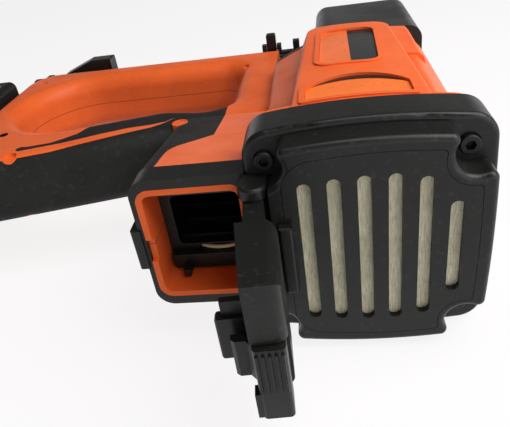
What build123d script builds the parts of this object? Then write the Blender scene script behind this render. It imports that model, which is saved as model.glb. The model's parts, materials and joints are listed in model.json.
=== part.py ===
from build123d import *
import math
import os

# Gas-driven cordless nailer, lying on its right side with the fuel door open.
# Sizes are millimetres. +Y is the drive direction and the cap's rear face is y = 0.
# +X points from the grip to the barrel, +Z is the tool's left side, the drive axis is x = 0, z = 0.

# Clearances
seat_gap = 0.2
run_gap = 0.5
pin_gap = 0.06
slide_gap = 0.08

# Rear cap
cap_left = -56.0
cap_right = 48.0
cap_half = 52.5
cap_crown = 4.2
cap_corner = 12.0
cap_bow = 1.5
cap_wall = 3.6
dome_depth = 14.0
flange_depth = 21.0
flange_round = 2.4
dome_margin = 3.0
dome_round = 3.0
scallop_radius = 9.4
scallop_shift = 1.5
scallop_round = 3.2
air_hole_radius = 30.0
shelf_thickness = 2.6

# Cap screws, two a side
cap_screw_left = -46.5
cap_screw_right = 36.6
cap_screw_rise = 41.5
cap_screw_head_radius = 4.25
cap_screw_head_length = 5.0
cap_screw_radius = 2.5
cap_screw_length = 25.0
cap_screw_sink = 2.5
cap_screw_socket = 4.0
cap_screw_column = 6.0

# Filter cover and filter
plate_left = -39.5
plate_right = 39.0
plate_half = 44.4
plate_crown = 3.2
plate_bow = 1.2
plate_corner = 13.0
plate_thickness = 3.0
plate_notch_radius = 11.7
plate_notch_round = 2.0
plate_slots = 6
plate_first_slot = -30.5
plate_slot_pitch = 12.2
plate_slot_width = 5.7
plate_slot_margin = 9.5
plate_notch_margin = 7.5
tab_left = -42.2
tab_right = -36.4
tab_low = -17.0
tab_high = 18.0
tab_height = 4.6
filter_ledge = 3.5
filter_thickness = 8.4

# Barrel of the housing
barrel_left = -52.0
barrel_right = 46.0
barrel_side_half = 31.0
barrel_panel_left = -37.0
barrel_panel_right = 27.0
barrel_panel_half = 52.4
barrel_crown = 2.2
barrel_panel_round = 5.0
core_left = -31.0
core_left_half = 40.5
core_right = 32.3
core_half = 46.5
panel_left = -35.0
panel_right = 27.6
panel_left_far = -27.0
panel_right_far = 22.4
panel_end = 168.0
right_panel_end = 176.8
panel_slant = 0.45
panel_corner = 8.0
panel_edge_round = 1.6
barrel_side_round = 9.0
barrel_end_round = 4.0
barrel_end = 178.0
barrel_wall = 3.2
rim_depth = 10.0
rim_inset = 3.0
head_pocket = 5.0
sleeve_way_radius = 38.4
pod_start = 117.0
pod_end = 174.0
pod_section = ((-11.0, -10.4), (-9.0, -3.8), (7.5, -5.4), (9.8, -7.8), (11.6, -15.4))
pod_round = 1.5

# Fuel compartment
mouth_left = -107.5
mouth_right = -57.0
mouth_half = 31.0
mouth_wall = 3.0
mouth_corner = 7.0
spout_end = 42.0
well_half = 20.5
well_end = 101.0
collar_end = 27.0
collar_wall = 2.5
collar_half = 36.0
collar_corner = 9.0
catch_low = -12.0
catch_high = 10.0
catch_proud = 4.0
catch_length = 10.0
rim_notch_low = -9.0
rim_notch_high = 4.0
rim_notch_depth = 3.0

# Flare from the collar's height down to the grip's
flare_half = 34.5
flare_end = 118.0
flare_round = 7.0
post_left = -80.0

# Grip and D-shaped frame
grip_x = -157.0
grip_y = 111.0
grip_tilt = 13.5
grip_half = 20.5
grip_front = 20.8
frame_half = 21.0
frame_left = -262.0
frame_right = -40.0
frame_round = 11.5
frame_wall = 3.0
bar_rear = 219.5
bar_front = 250.0
loop_left = -237.0
loop_round = 46.0
loop_corner = 16.0
pocket_x = -122.0
pocket_y = 131.0
pocket_round = 24.0
frame_rear_corner = 24.0
frame_front_corner = 28.0

# Rubber on the grip and its root
rubber = 2.5
rubber_left = -226.0
rubber_right = -79.7
rubber_front = 152.0
root_round = 14.0
root_edge = ((-79.7, 77.3), (-86.2, 71.1), (-97.1, 61.7), (-100.2, 55.0), (-100.6, 46.0))
strip_edge = (
    (-90.0, -14.5), (-30.0, -14.3), (3.5, -11.2), (31.0, -8.7), (38.5, -6.0), (47.2, 0.4),
    (40.0, -3.8), (31.0, -4.4), (17.0, -2.9), (0.0, -4.1), (-24.0, -7.1), (-48.0, -7.2), (-48.0, -2.6),
    (-31.0, -3.4), (-24.0, -0.8), (-15.0, 3.5), (-8.0, 12.0), (-6.0, 70.0), (-90.0, 70.0),
)
bulb_along = -48.6
bulb_out = -4.4
bulb_radius = 2.9
boss_radius = 4.8
boss_rim = 0.4

# Fuel door, drawn closed and then swung open about its pin
hinge_x = -52.0
hinge_y = 6.0
door_open = 95.0
door_length = 61.2
door_neck = 22.0
door_half = 31.0
door_neck_half = 29.4
door_out = 9.0
door_in = 7.6
door_in_end = 5.2
door_neck_out = 4.2
door_wall = 2.6
door_round = 5.0
hinge_pin_radius = 1.6
knuckle_radius = 5.0
ear_radius = 6.4
ear_thickness = 5.4
ear_gap = 0.4
latch_depth = 11.0
latch_proud = 2.6
latch_low = -33.0
latch_out = 7.8
latch_in = 4.6
latch_gap = 1.6
latch_top = 3.6
latch_ribs = 5
latch_rib_height = 1.0
latch_pin_radius = 1.2
latch_arm = 4.0
latch_hook_reach = 13.4
latch_turn = 10.0
latch_round = 2.0
latch_pin_grip = 12.0
latch_tip_length = 5.0
latch_tip_height = 13.0
latch_tip_proud = 1.8
latch_rib_low = 15.0
latch_rib_top = 2.0
latch_rib_base = 0.7
latch_rib_crest = 0.5
latch_hook_width = 4.0
latch_hook_low = 9.0
latch_hook_high = 6.0
leaf_gap = 0.1
leaf_thickness = 0.6
leaf_width = 2.0
leaf_low = -28.0
leaf_high = -24.0
pad_share = 0.62
pad_margin = 3.6
pad_top = 19.4
pad_low = -19.0
pad_high = 2.0
pad_round = 1.5
step_top = 16.4
step_high = 9.0
step_inset = 2.0
base_margin = 1.5
base_thickness = 3.0
base_low = -26.0
base_high = 24.0

# Fuel cell cage
cage_left = -101.5
cage_right = -61.5
cage_half = 17.2
cage_wall = 2.6
cage_start = 36.0
cage_end = 97.6
cage_windows = 4
bezel_depth = 3.0
bezel_drop = 6.0
cage_corner = 4.0
cage_rib = 3.0
cage_rib_rise = 1.6
cage_end_wall = 3.0
cage_end_rib = 5.0
cage_end_rib_half = 1.2
apron_depth = 5.0
apron_spare = 1.4
apron_drop = 0.8
foot_left = 4.7
foot_width = 3.6
foot_length = 7.0
foot_height = 4.0
lead_radius = 1.0
lead_left = -87.5
lead_right = -66.9
lead_seat = 1.8
lead_bow = 1.1

# Drive unit
bore_radius = 16.0
cylinder_wall = 3.0
cylinder_start = 96.0
cylinder_flange = 8.0
cylinder_foot = 6.0
cylinder_foot_radius = 27.5
fin_radius = 24.0
fin_first = 140.0
fin_pitch = 8.0
fin_count = 10
fin_thickness = 2.4
head_radius = 34.4
head_front = 58.0
head_groove = 7.0
sleeve_radius = 35.0
sleeve_wall = 2.5
sleeve_start = 64.0
sleeve_end = 132.0
sleeve_lip = 4.0
sleeve_lip_radius = 26.0
sleeve_stroke = 22.0
seal_radius = 1.6
motor_radius = 14.0
motor_start = 18.0
motor_end = 56.0
motor_shaft_radius = 1.6
fan_radius = 29.0
fan_hub_radius = 6.0
fan_start = 63.0
fan_depth = 9.0
fan_blades = 5
plug_x = 16.0
plug_z = 18.0
plug_radius = 4.5
plug_length = 36.0
piston_gap = 0.3
piston_start = 98.5
piston_length = 11.5
piston_stroke = 100.0
ring_width = 2.5
blade_radius = 3.0
blade_tip = 258.0
bumper_length = 15.0
coil_start = 20.0
coil_length = 40.0
coil_room = 1.5
coil_tower_radius = 5.0
coil_tower = 8.0

# Nose
nose_left = -33.0
nose_right = 46.5
nose_half = 46.0
nose_corner = 9.0
nose_side_half = 12.0
nose_slant_left = -22.0
nose_slant_half = 32.0
nose_top_left = -20.0
plate_inset = 0.4
nose_plate = 5.0
nose_end = 258.0
nose_wall = 3.4
bulkhead_start = 232.0
bulkhead = 4.0
nosepiece_flange = 7.0
nosepiece_half_x = 14.0
nosepiece_half_z = 13.0
nosepiece_block_end = 300.0
nosepiece_tip = 344.0
nosepiece_barrel = 9.0
nail_bore_radius = 3.6
exit_bore_radius = 4.2
nose_screw_circle = 22.0
nose_screw_radius = 2.0
nose_screw_head = 3.6
nose_screw_length = 16.0
probe_wall = 2.9
probe_start = 322.0
probe_length = 44.0
probe_arm_start = 282.0
probe_arm = 6.0
probe_half_width = 7.0
probe_strap = 3.2
rod_radius = 2.2
rod_offset = 30.5
spring_wire = 1.4
spring_radius = 4.4
spring_turns = 10

# Magazine
magazine_left = -266.0
magazine_right = -14.5
magazine_rail_right = -36.0
lug_width = 5.0
lug_rise = 24.4
magazine_rail_half = 14.6
magazine_rail_depth = 8.0
magazine_half = 7.2
magazine_end = 290.0
nail_half = 3.4
nail_top = 260.0
nail_bottom = 287.6
rail_thickness = 1.2
end_cap_length = 7.0
pusher_left = -241.0
pusher_length = 44.0
pusher_slot_start = 261.0
pusher_slot_width = 7.0
pusher_knob_rise = 24.5
pusher_slant = 26.0
pusher_travel = 150.0
lever_left = -62.0
lever_width = 7.5
lever_thickness = 5.6
lever_rise = 31.4
lever_pin_radius = 1.5
lever_pin_rise = 20.0
lever_ear = 3.4
lever_ear_half = 3.0
lever_pin_cover = 2.6
lever_base_rise = 16.6

# Trigger, in the grip's own axes: along the grip from its middle, and out towards the loop
trigger_start = 31.0
trigger_length = 23.0
trigger_inner = -2.0
trigger_reach = 26.0
trigger_half = 5.4
trigger_pivot_along = 51.0
trigger_pivot_out = 3.0
trigger_pin_radius = 1.5
trigger_pin_half = 11.0
switch_half = 5.0
switch_length = 12.0
switch_height = 8.0
trigger_spring_radius = 2.4
trigger_spring_wire = 0.6
trigger_spring_turns = 3
board_length = 50.0
board_width = 24.0
board_height = 7.0

# Battery and its shoe
shoe_rear = 112.0
shoe_front = 214.0
shoe_half = 20.0
shoe_plate = 4.0
shoe_neck_half = 8.0
shoe_head_half = 12.0
shoe_head = 4.0
battery_length = 44.0
battery_rear = 104.0
battery_front = 222.0
battery_half = 25.0
battery_round = 5.0
battery_button = 18.0
battery_button_travel = 3.0

# Labels, left bare
label_depth = 1.2
label_thickness = 0.8
border_width = 2.6
border_height = 0.9
side_label_places = ((-21.4, 91.0), (-19.0, 151.0), (12.3, 152.5), (9.5, 89.5))
side_label_corner = 6.0
band_left = -28.6
band_right = 19.9
band_margin = 3.9
band_depth = 14.4
band_bulge = 12.0

# Housing screws, placed by x and y, driven in from the right side
housing_screw_places = ((-106.0, 109.0), (-206.2, 86.6), (-226.6, 120.2), (-241.9, 220.2), (-76.7, 212.0))
dimple_radii = (4.0, 4.0, 2.8, 3.6, 3.6)
dimple_floors = (22.2, 18.8, 12.0, 20.2, 18.6)
housing_screw_head = 3.4
housing_screw_radius = 1.6
housing_screw_length = 26.0
housing_screw_head_length = 2.4
housing_screw_column = 4.6
housing_screw_top = 11.0

# Derived places
cap_length = dome_depth + flange_depth
barrel_start = cap_length + seat_gap
rim_end = barrel_start + rim_depth
pocket_end = barrel_start + head_pocket
band_rear = pocket_end + band_margin
band_front = band_rear + band_depth
filter_start = plate_thickness + seat_gap
filter_end = filter_start + filter_thickness
shelf_start = filter_end + seat_gap
shelf_end = shelf_start + shelf_thickness
mouth_y = dome_depth
collar_left = mouth_left - collar_wall
head_start = barrel_start + seat_gap
cylinder_end = bulkhead_start
nosepiece_start = bulkhead_start + bulkhead
latch_end = door_length + latch_proud
hollow_start = door_neck + door_wall
hollow_end = door_length - latch_depth - door_wall
grip_place = Pos(grip_x, grip_y) * Rot(0, 0, grip_tilt)
grip_slope = math.tan(math.radians(grip_tilt))
grip_offset = grip_half / math.cos(math.radians(grip_tilt))
far = 600.0


def along_y(face, start, end):
    """An x-z outline carried along the drive axis."""
    return extrude(Plane.XZ.offset(-start) * face, amount=start - end)


def along_z(face, start, end):
    """An x-y outline carried across the tool."""
    return extrude(Plane.XY.offset(start) * face, amount=end - start)


def rod_y(radius, start, end, x=0.0, z=0.0):
    return along_y(Pos(x, z) * Circle(radius), start, end)


def rod_z(radius, start, end, x=0.0, y=0.0):
    return along_z(Pos(x, y) * Circle(radius), start, end)


def block(x_low, x_high, y_low, y_high, z_low, z_high):
    middle = ((x_low + x_high) / 2, (y_low + y_high) / 2, (z_low + z_high) / 2)
    return Pos(*middle) * Box(x_high - x_low, y_high - y_low, z_high - z_low)


def polygon(*points):
    return make_face(Polyline(*points, close=True))


def both_sides(shape):
    """A shape and its mirror image in the tool's middle plane."""
    return shape + mirror(shape, about=Plane.XY)


def group(shapes):
    """Separate solids kept in one node."""
    return Compound(children=[solid for shape in shapes for solid in shape.solids()])


def round_low_y(shape, radius):
    return fillet(shape.edges().group_by(Axis.Y)[0], radius)


def round_high_y(shape, radius):
    return fillet(shape.edges().group_by(Axis.Y)[-1], radius)


def round_both_z(shape, radius):
    levels = shape.edges().group_by(Axis.Z)
    return fillet(levels[0] + levels[-1], radius)


def arched_outline(left, right, half, crown, bow):
    """A frame outline whose top and bottom arch outwards and whose right side bows."""
    middle = (left + right) / 2
    top = ThreePointArc((left, half), (middle, half + crown), (right, half))
    side = ThreePointArc((right, half), (right + bow, 0), (right, -half))
    bottom = ThreePointArc((right, -half), (middle, -half - crown), (left, -half))
    return make_face([top, side, bottom, Line((left, -half), (left, half))])


# Rear cap, filter cover and filter

def cap_outline(inset=0.0):
    face = arched_outline(cap_left + inset, cap_right - inset, cap_half - inset, cap_crown, cap_bow)
    return fillet(face.vertices(), cap_corner - inset)


def cap_screw_places():
    return [(x, z) for x in (cap_screw_left, cap_screw_right) for z in (cap_screw_rise, -cap_screw_rise)]


def circles(places, radius):
    return Sketch() + [Pos(x, z) * Circle(radius) for x, z in places]


def screw_columns(radius):
    """Outlines of the columns round the cap screws, run out to the cap's corners."""
    columns = Sketch()
    for x, z in cap_screw_places():
        turn = math.degrees(math.atan2(math.copysign(1, z), math.copysign(1, x)))
        web = Pos(cap_corner, 0) * Rectangle(2 * cap_corner, 2 * radius)
        columns = columns + Pos(x, z) * Rot(0, 0, turn) * (Circle(radius) + web)
    return columns


def near_circle(vertex, places, radius):
    """True where a corner was made by one of the circles that were cut away."""
    return any(abs(math.hypot(vertex.X - x, vertex.Y - z) - radius) < 0.01 for x, z in places)


def plate_outline(inset=0.0):
    """The filter plate's outline, arched, with bites at its right corners for the cap screws."""
    face = arched_outline(plate_left + inset, plate_right - inset, plate_half - inset, plate_crown, plate_bow)
    left_corners = face.vertices().sort_by(Axis.X)[:2]
    face = fillet(left_corners, plate_corner - inset)
    bites = [(x, z) for x, z in cap_screw_places() if x > 0]
    face = face - circles(bites, plate_notch_radius + inset)
    corners = [v for v in face.vertices() if near_circle(v, bites, plate_notch_radius + inset)]
    return fillet(corners, plate_notch_round)


def scallop_places():
    """Centres of the bites round the cap screws, a little nearer the corners than the screws."""
    places = cap_screw_places()
    return [(x + math.copysign(scallop_shift, x), z + math.copysign(scallop_shift, z)) for x, z in places]


def dome():
    places = scallop_places()
    face = cap_outline(dome_margin) - circles(places, scallop_radius)
    corners = [v for v in face.vertices() if near_circle(v, places, scallop_radius)]
    face = fillet(corners, scallop_round)
    return round_low_y(along_y(face, 0, dome_depth), dome_round)


def hinge_ears():
    """Two ears that hold the door's hinge pin, rounded about it, with blind outer faces."""
    low = door_neck_half + ear_gap
    high = low + ear_thickness
    face = Pos(hinge_x, hinge_y) * Circle(ear_radius)
    foot = polygon(
        (hinge_x - ear_radius, hinge_y),
        (hinge_x + ear_radius, hinge_y),
        (hinge_x + ear_radius, dome_depth),
        (hinge_x - ear_radius, dome_depth),
    )
    ear = along_z(face + foot, low, high)
    return both_sides(fillet(ear.edges().group_by(Axis.Z)[-1].filter_by(GeomType.CIRCLE), 1.5))


def rear_cover():
    flange = round_low_y(along_y(cap_outline(), dome_depth, cap_length), flange_round)
    hinge_way = block(
        -far, hinge_x + ear_radius + run_gap, -far, dome_depth,
        -door_neck_half - ear_gap - ear_thickness, door_neck_half + ear_gap + ear_thickness,
    )
    body = flange + (dome() - hinge_way) + hinge_ears()
    cavity = along_y(cap_outline(cap_wall) - screw_columns(cap_screw_column), shelf_end, cap_length)
    body = body - cavity
    body = body - along_y(plate_outline(-seat_gap), -far, plate_thickness + seat_gap)
    tab_way = block(
        tab_left - seat_gap, 0, -far, plate_thickness + seat_gap, tab_low - seat_gap, tab_high + seat_gap,
    )
    body = body - tab_way
    body = body - along_y(plate_outline(filter_ledge), 0, shelf_start)
    body = body - rod_y(air_hole_radius, 0, cap_length)
    for x, z in cap_screw_places():
        body = body - rod_y(cap_screw_radius + seat_gap, 0, cap_length, x, z)
        seat = dome_depth + cap_screw_sink
        body = body - rod_y(cap_screw_head_radius + 2 * seat_gap, 0, seat, x, z)
    pin_half = hinge_pin_half()
    return body - rod_z(hinge_pin_radius, -pin_half, pin_half, hinge_x, hinge_y)


def hinge_pin_half():
    return door_neck_half + ear_gap + ear_thickness - cap_wall / 2


def slot_half_length(x):
    """Half a slot's length, kept clear of the plate's arched edge and of its corner notches."""
    middle = (plate_left + plate_right) / 2
    share = (x - middle) / ((plate_right - plate_left) / 2)
    edge = plate_half + plate_crown * (1 - share * share) - plate_slot_margin
    reach = plate_notch_radius + plate_notch_margin
    aside = abs(x - cap_screw_right)
    if aside < reach:
        edge = min(edge, cap_screw_rise - math.sqrt(reach * reach - aside * aside))
    return edge


def filter_cover():
    plate = along_y(plate_outline(), 0, plate_thickness)
    tab = block(tab_left, tab_right, -tab_height, plate_thickness, tab_low, tab_high)
    tab = fillet(tab.edges().group_by(Axis.Y)[0], 1.2)
    plate = plate + tab
    for index in range(plate_slots):
        x = plate_first_slot + index * plate_slot_pitch
        length = 2 * slot_half_length(x)
        slot = Pos(x, 0) * Rot(0, 0, 90) * SlotOverall(length, plate_slot_width)
        plate = plate - along_y(slot, -far, plate_thickness)
    return plate


def air_filter():
    return along_y(plate_outline(filter_ledge + seat_gap), filter_start, filter_end)


def rear_cover_screws():
    seat = dome_depth + cap_screw_sink
    screws = []
    for x, z in cap_screw_places():
        head = rod_y(cap_screw_head_radius, seat - cap_screw_head_length, seat, x, z)
        head = round_low_y(head, 0.6)
        shank = rod_y(cap_screw_radius, seat, seat + cap_screw_length, x, z)
        socket_face = Pos(x, z) * RegularPolygon(cap_screw_socket / 2, 6, major_radius=False)
        socket = along_y(socket_face, seat - cap_screw_head_length, seat - cap_screw_head_length / 3)
        screws.append(head + shank - socket)
    return group(screws)


# Orange housing, in two halves

def inset_corners(points, inset):
    """Corners of a clockwise polygon whose sides are all moved inwards by the same amount."""
    moved = []
    for index, here in enumerate(points):
        before = points[index - 1]
        after = points[(index + 1) % len(points)]
        first = math.atan2(here[1] - before[1], here[0] - before[0])
        second = math.atan2(after[1] - here[1], after[0] - here[0])
        half = (second - first) / 2
        half = math.atan2(math.sin(half), math.cos(half))
        middle = first + half
        reach = inset / math.cos(half)
        moved.append((here[0] + reach * math.sin(middle), here[1] - reach * math.cos(middle)))
    return moved


def flanked_outline(left, right, crown, inset):
    """A section with flat flanks, slanted shoulders and gently arched left and right sides."""
    upper = [(barrel_left, barrel_side_half), left, right, (barrel_right, barrel_side_half)]
    lower = [(x, -z) for x, z in reversed(upper)]
    points = inset_corners(upper + lower, inset)
    edges = []
    for index, start in enumerate(points):
        end = points[(index + 1) % len(points)]
        if index in (1, 5):
            rise = math.copysign(crown, start[1])
            edges.append(ThreePointArc(start, ((start[0] + end[0]) / 2, (start[1] + end[1]) / 2 + rise), end))
        else:
            edges.append(Line(start, end))
    face = make_face(edges)
    middle = (min(left[1], right[1]) + barrel_side_half) / 2
    panel_corners = [v for v in face.vertices() if abs(v.Y) > middle]
    face = fillet(panel_corners, barrel_panel_round)
    side_corners = [v for v in face.vertices() if abs(v.X - barrel_left - inset) < 0.01]
    side_corners += [v for v in face.vertices() if abs(v.X - barrel_right + inset) < 0.01]
    return fillet(side_corners, barrel_side_round - inset)


def barrel_outline(inset=0.0):
    """The section through the raised panels."""
    left = (barrel_panel_left, barrel_panel_half)
    right = (barrel_panel_right, barrel_panel_half)
    return flanked_outline(left, right, barrel_crown, inset)


def core_outline(inset=0.0):
    """The section beside the raised panels."""
    return flanked_outline((core_left, core_left_half), (core_right, core_half), barrel_crown / 2, inset)


def panel_section(left, right, y):
    """A section of the room that a raised panel fills, slanted on top and upright on its left side."""
    low = core_half / 2
    high = barrel_panel_half + 4 * barrel_crown
    foot = panel_slant * (barrel_panel_half - core_half)
    drop = panel_slant * (barrel_panel_half - low)
    rise = panel_slant * (high - barrel_panel_half)
    face = polygon(
        (left - foot, low), (left - foot, core_half), (left + rise, high),
        (right - rise, high), (right + drop, low),
    )
    return Plane.XZ.offset(-y) * face


def raised_panel(end):
    """A raised panel of the barrel as it lies on the left side, tapering to the nose."""
    room = loft([
        panel_section(panel_left, panel_right, barrel_start),
        panel_section(panel_left_far, panel_right_far, end),
    ])
    upright = [e for e in room.edges() if abs(e.tangent_at(0.5).Z) > 0.5]
    room = fillet([e for e in upright if abs(e.center().Y - end) < 0.01], panel_corner)
    panel = along_y(barrel_outline(), barrel_start, end) & room
    middle = (core_half + barrel_panel_half) / 2
    rims = [e for e in panel.edges() if e.center().Z > middle and e.center().Y > barrel_start + 1]
    top = [e for e in rims if abs(e.tangent_at(0.5).Z) < 0.5]
    return fillet(top, min(panel_edge_round, (barrel_panel_half - core_half) / 3))


def panels():
    """The barrel's left panel, and its right one, which runs on to the nose."""
    return raised_panel(panel_end) + mirror(raised_panel(right_panel_end), about=Plane.XY)


def grip_line(x, out):
    """The y of a line that runs beside the grip's axis."""
    return grip_y + (x - grip_x) * grip_slope + out


def loop_outline(spare=0.0):
    """The hand opening with its trigger pocket, or with some spare the same moved outwards."""
    left = loop_left - spare
    right = post_left + spare
    rear = grip_front / math.cos(math.radians(grip_tilt)) - spare / math.cos(math.radians(grip_tilt))
    corners = polygon(
        (left, grip_line(left, rear)),
        (pocket_x, grip_line(pocket_x, rear)),
        (right, pocket_y - spare),
        (right, bar_rear + spare),
        (left, bar_rear + spare),
    )
    corners = fillet(corners.vertices().sort_by(Axis.X)[:2], loop_round + spare)
    corners = fillet(corners.vertices().sort_by(Axis.X)[-2:], loop_corner + spare)
    pocket = corners.vertices().sort_by_distance((pocket_x, grip_line(pocket_x, rear)))[0]
    return fillet(pocket, pocket_round)


def frame_outline(inset=0.0):
    """The D-shaped frame: grip, base, bar and post round the hand opening."""
    left = frame_left + inset
    right = frame_right - inset
    rear = inset / math.cos(math.radians(grip_tilt)) - grip_offset
    corners = polygon(
        (left, grip_line(left, rear)),
        (right, grip_line(right, rear)),
        (right, bar_front - inset),
        (left, bar_front - inset),
    )
    rear_left = corners.vertices().sort_by(Axis.X)[:2].sort_by(Axis.Y)[0]
    corners = fillet(rear_left, frame_rear_corner - inset)
    front_left = corners.vertices().sort_by(Axis.Y)[-2:].sort_by(Axis.X)[0]
    corners = fillet(front_left, frame_front_corner - inset)
    return corners - loop_outline(inset)


def frame_solid(inset=0.0):
    """The frame with rounded sides, cut off square in front of the barrel."""
    solid = along_z(frame_outline(inset), -frame_half + inset, frame_half - inset)
    solid = round_both_z(solid, frame_round - inset)
    return solid - block(barrel_left - seat_gap, far, barrel_end, far, -far, far)


def mouth_outline(inset, half, right):
    width = right - mouth_left - 2 * inset
    middle = (mouth_left + right) / 2
    face = RectangleRounded(width, 2 * (half - inset), mouth_corner - inset)
    return Pos(middle, 0) * face


def well():
    """The compartment's outer walls: a spout inside the collar and the deeper well."""
    spout = along_y(mouth_outline(0, mouth_half, mouth_right), mouth_y, spout_end)
    deep = along_y(mouth_outline(0, well_half, mouth_right), spout_end, well_end)
    return spout + deep


def well_space():
    spout = along_y(mouth_outline(mouth_wall, mouth_half, mouth_right), -far, spout_end - mouth_wall)
    deep = along_y(mouth_outline(mouth_wall, well_half, mouth_right), 0, well_end - mouth_wall)
    return spout + deep


def flare(inset=0.0):
    """The flank between the collar and the grip, tapering from the collar's height to the frame's."""
    start = collar_end + seat_gap
    face = polygon(
        (start, -flare_half + inset),
        (start, flare_half - inset),
        (flare_end, frame_half - inset),
        (flare_end, -frame_half + inset),
    )
    left = collar_left + inset
    solid = extrude(Plane.YZ.offset(left) * face, amount=barrel_left + barrel_wall - left)
    slants = [e for e in solid.edges() if abs(e.center().X - left) < 0.01 and abs(e.center().Z) > 1]
    solid = fillet(slants, flare_round - inset)
    cap_side = block(mouth_right, far, -far, barrel_start, -far, far)
    return solid - cap_side


def pod():
    """The raised blocks on the barrel's right shoulders, their section given from the panel's right edge."""
    face = polygon(*[(barrel_panel_right + x, barrel_panel_half + z) for x, z in pod_section])
    outer = face.vertices().sort_by(Axis.X)[2:4]
    return both_sides(along_y(fillet(outer, pod_round), pod_start, pod_end))


def bare_strip():
    """The bare strip between the rear and front rubber, tapering to a point near the trigger."""
    bulb = Pos(bulb_along, bulb_out) * Circle(bulb_radius)
    return along_z(grip_place * (polygon(*strip_edge) - bulb), -far, far)


def distance(vertex, spot):
    return math.hypot(vertex.X - spot[0], vertex.Y - spot[1])


def rubber_zone():
    """The stretch of the frame and flare that the rubber covers, as an upright prism."""
    start = collar_end + seat_gap
    face = polygon(
        (rubber_left, start), (rubber_left, rubber_front), (rubber_right, rubber_front),
        *root_edge, (root_edge[-1][0], start),
    )
    bends = [v for v in face.vertices() if min(distance(v, spot) for spot in root_edge[2:4]) < 0.01]
    return along_z(fillet(bends, root_round), -far, far)


def rubber_solid():
    core = frame_solid(rubber) + flare(rubber)
    shell = (frame_solid() + flare()) & rubber_zone()
    shell = shell - core - bare_strip() - trigger_way()
    for x, y in housing_screw_places:
        shell = shell - rod_z(boss_radius, -far, far, x, y)
    return shell - along_z(loop_outline(), -far, far)


def trigger_box(start, length, low, high, half):
    """A block given along the grip and out towards the loop."""
    face = grip_place * Pos(start + length / 2, (low + high) / 2) * Rectangle(length, high - low)
    return along_z(face, -half, half)


def trigger_way():
    reach = trigger_length + 5
    return trigger_box(trigger_start - 3, reach, trigger_inner - 3, grip_half + 9, trigger_half + run_gap)


def grip_point(along, out):
    spot = (grip_place * Pos(along, out)).position
    return spot.X, spot.Y


def frame_space():
    """The hollow inside the frame, with screw columns left standing in it."""
    inset = rubber + frame_wall
    face = frame_outline(inset)
    for x, y in housing_screw_places:
        face = face - Pos(x, y) * Circle(housing_screw_column)
    space = along_z(face, -frame_half + inset, frame_half - inset)
    pivot_x, pivot_y = grip_point(trigger_pivot_along, trigger_pivot_out)
    bosses = rod_z(4.2, trigger_half + 2 * run_gap, far, pivot_x, pivot_y)
    walls = block(barrel_left - frame_wall, far, -far, far, -far, far)
    near_well = block(collar_left, far, -far, well_end + frame_wall, -far, far)
    return space - both_sides(bosses) - walls - near_well


def label_prism(outline):
    return along_z(outline, -far, far)


def side_label_outline(inset=0.0):
    """A four-sided badge with slanted rear and left sides."""
    face = polygon(*inset_corners(side_label_places, inset))
    return fillet(face.vertices(), side_label_corner - inset)


def band_label_outline(inset=0.0):
    """A shallow band with an arched front edge."""
    left = band_left + inset
    right = band_right - inset
    rear = band_rear + inset
    front = band_front - inset
    face = make_face([
        Line((left, rear), (right, rear)),
        Line((right, rear), (right, front)),
        ThreePointArc((right, front), ((left + right) / 2, front + band_bulge), (left, front)),
        Line((left, front), (left, rear)),
    ])
    return fillet(face.vertices(), 2.0)


def label_layer(outline, deep, shallow):
    """The part of the barrel's skin between two depths under an outline."""
    face = barrel_outline(shallow) - barrel_outline(deep)
    skin = along_y(face, barrel_start, barrel_end - barrel_end_round)
    return skin & label_prism(outline)


def label_border(outline):
    """A low raised frame round a label."""
    return label_layer(outline(-border_width) - outline(), 1.0, -border_height)


def housing_solid():
    rim = along_y(cap_outline(rim_inset), barrel_start, rim_end)
    barrel = round_high_y(along_y(core_outline(), barrel_start, barrel_end), barrel_end_round)
    body = rim + barrel + panels() + well() + flare() + pod() + frame_solid()
    for outline in (side_label_outline, band_label_outline):
        body = body + half_of(label_border(outline), 1)
    return body


def housing(skin):
    body = housing_solid() - skin
    first_x, first_y = housing_screw_places[0]
    body = body + rod_z(boss_radius, 0, dimple_floors[0] + boss_rim, first_x, first_y)
    pocket = cap_outline(cap_wall) - screw_columns(cap_screw_column)
    body = body - along_y(pocket, barrel_start, pocket_end)
    body = body - rod_y(sleeve_way_radius, 0, rim_end)
    body = body - along_y(core_outline(barrel_wall), rim_end, barrel_end)
    body = body - well_space() - frame_space() - trigger_way()
    for x, z in cap_screw_places():
        body = body - rod_y(cap_screw_radius, 0, dome_depth + cap_screw_sink + cap_screw_length + 1, x, z)
    for outline in (side_label_outline(), band_label_outline()):
        body = body - label_layer(outline, label_depth, -2 * border_height)
    notch_right = mouth_left + mouth_wall + 1
    body = body - block(-far, notch_right, 0, mouth_y + rim_notch_depth, rim_notch_low, rim_notch_high)
    pivot_x, pivot_y = grip_point(trigger_pivot_along, trigger_pivot_out)
    body = body - rod_z(trigger_pin_radius, -trigger_pin_half, trigger_pin_half, pivot_x, pivot_y)
    end = housing_screw_length - housing_screw_top
    for (x, y), radius, floor in zip(housing_screw_places, dimple_radii, dimple_floors):
        body = body - rod_z(housing_screw_head + seat_gap, -far, -housing_screw_top, x, y)
        body = body - rod_z(housing_screw_radius + pin_gap, -far, min(end, floor - run_gap), x, y)
        body = body - rod_z(radius, floor, far, x, y)
    return body


def half_of(shape, sign):
    half = block(-far, far, -far, far, 0, far)
    if sign < 0:
        half = mirror(half, about=Plane.XY)
    return shape & half


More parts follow.
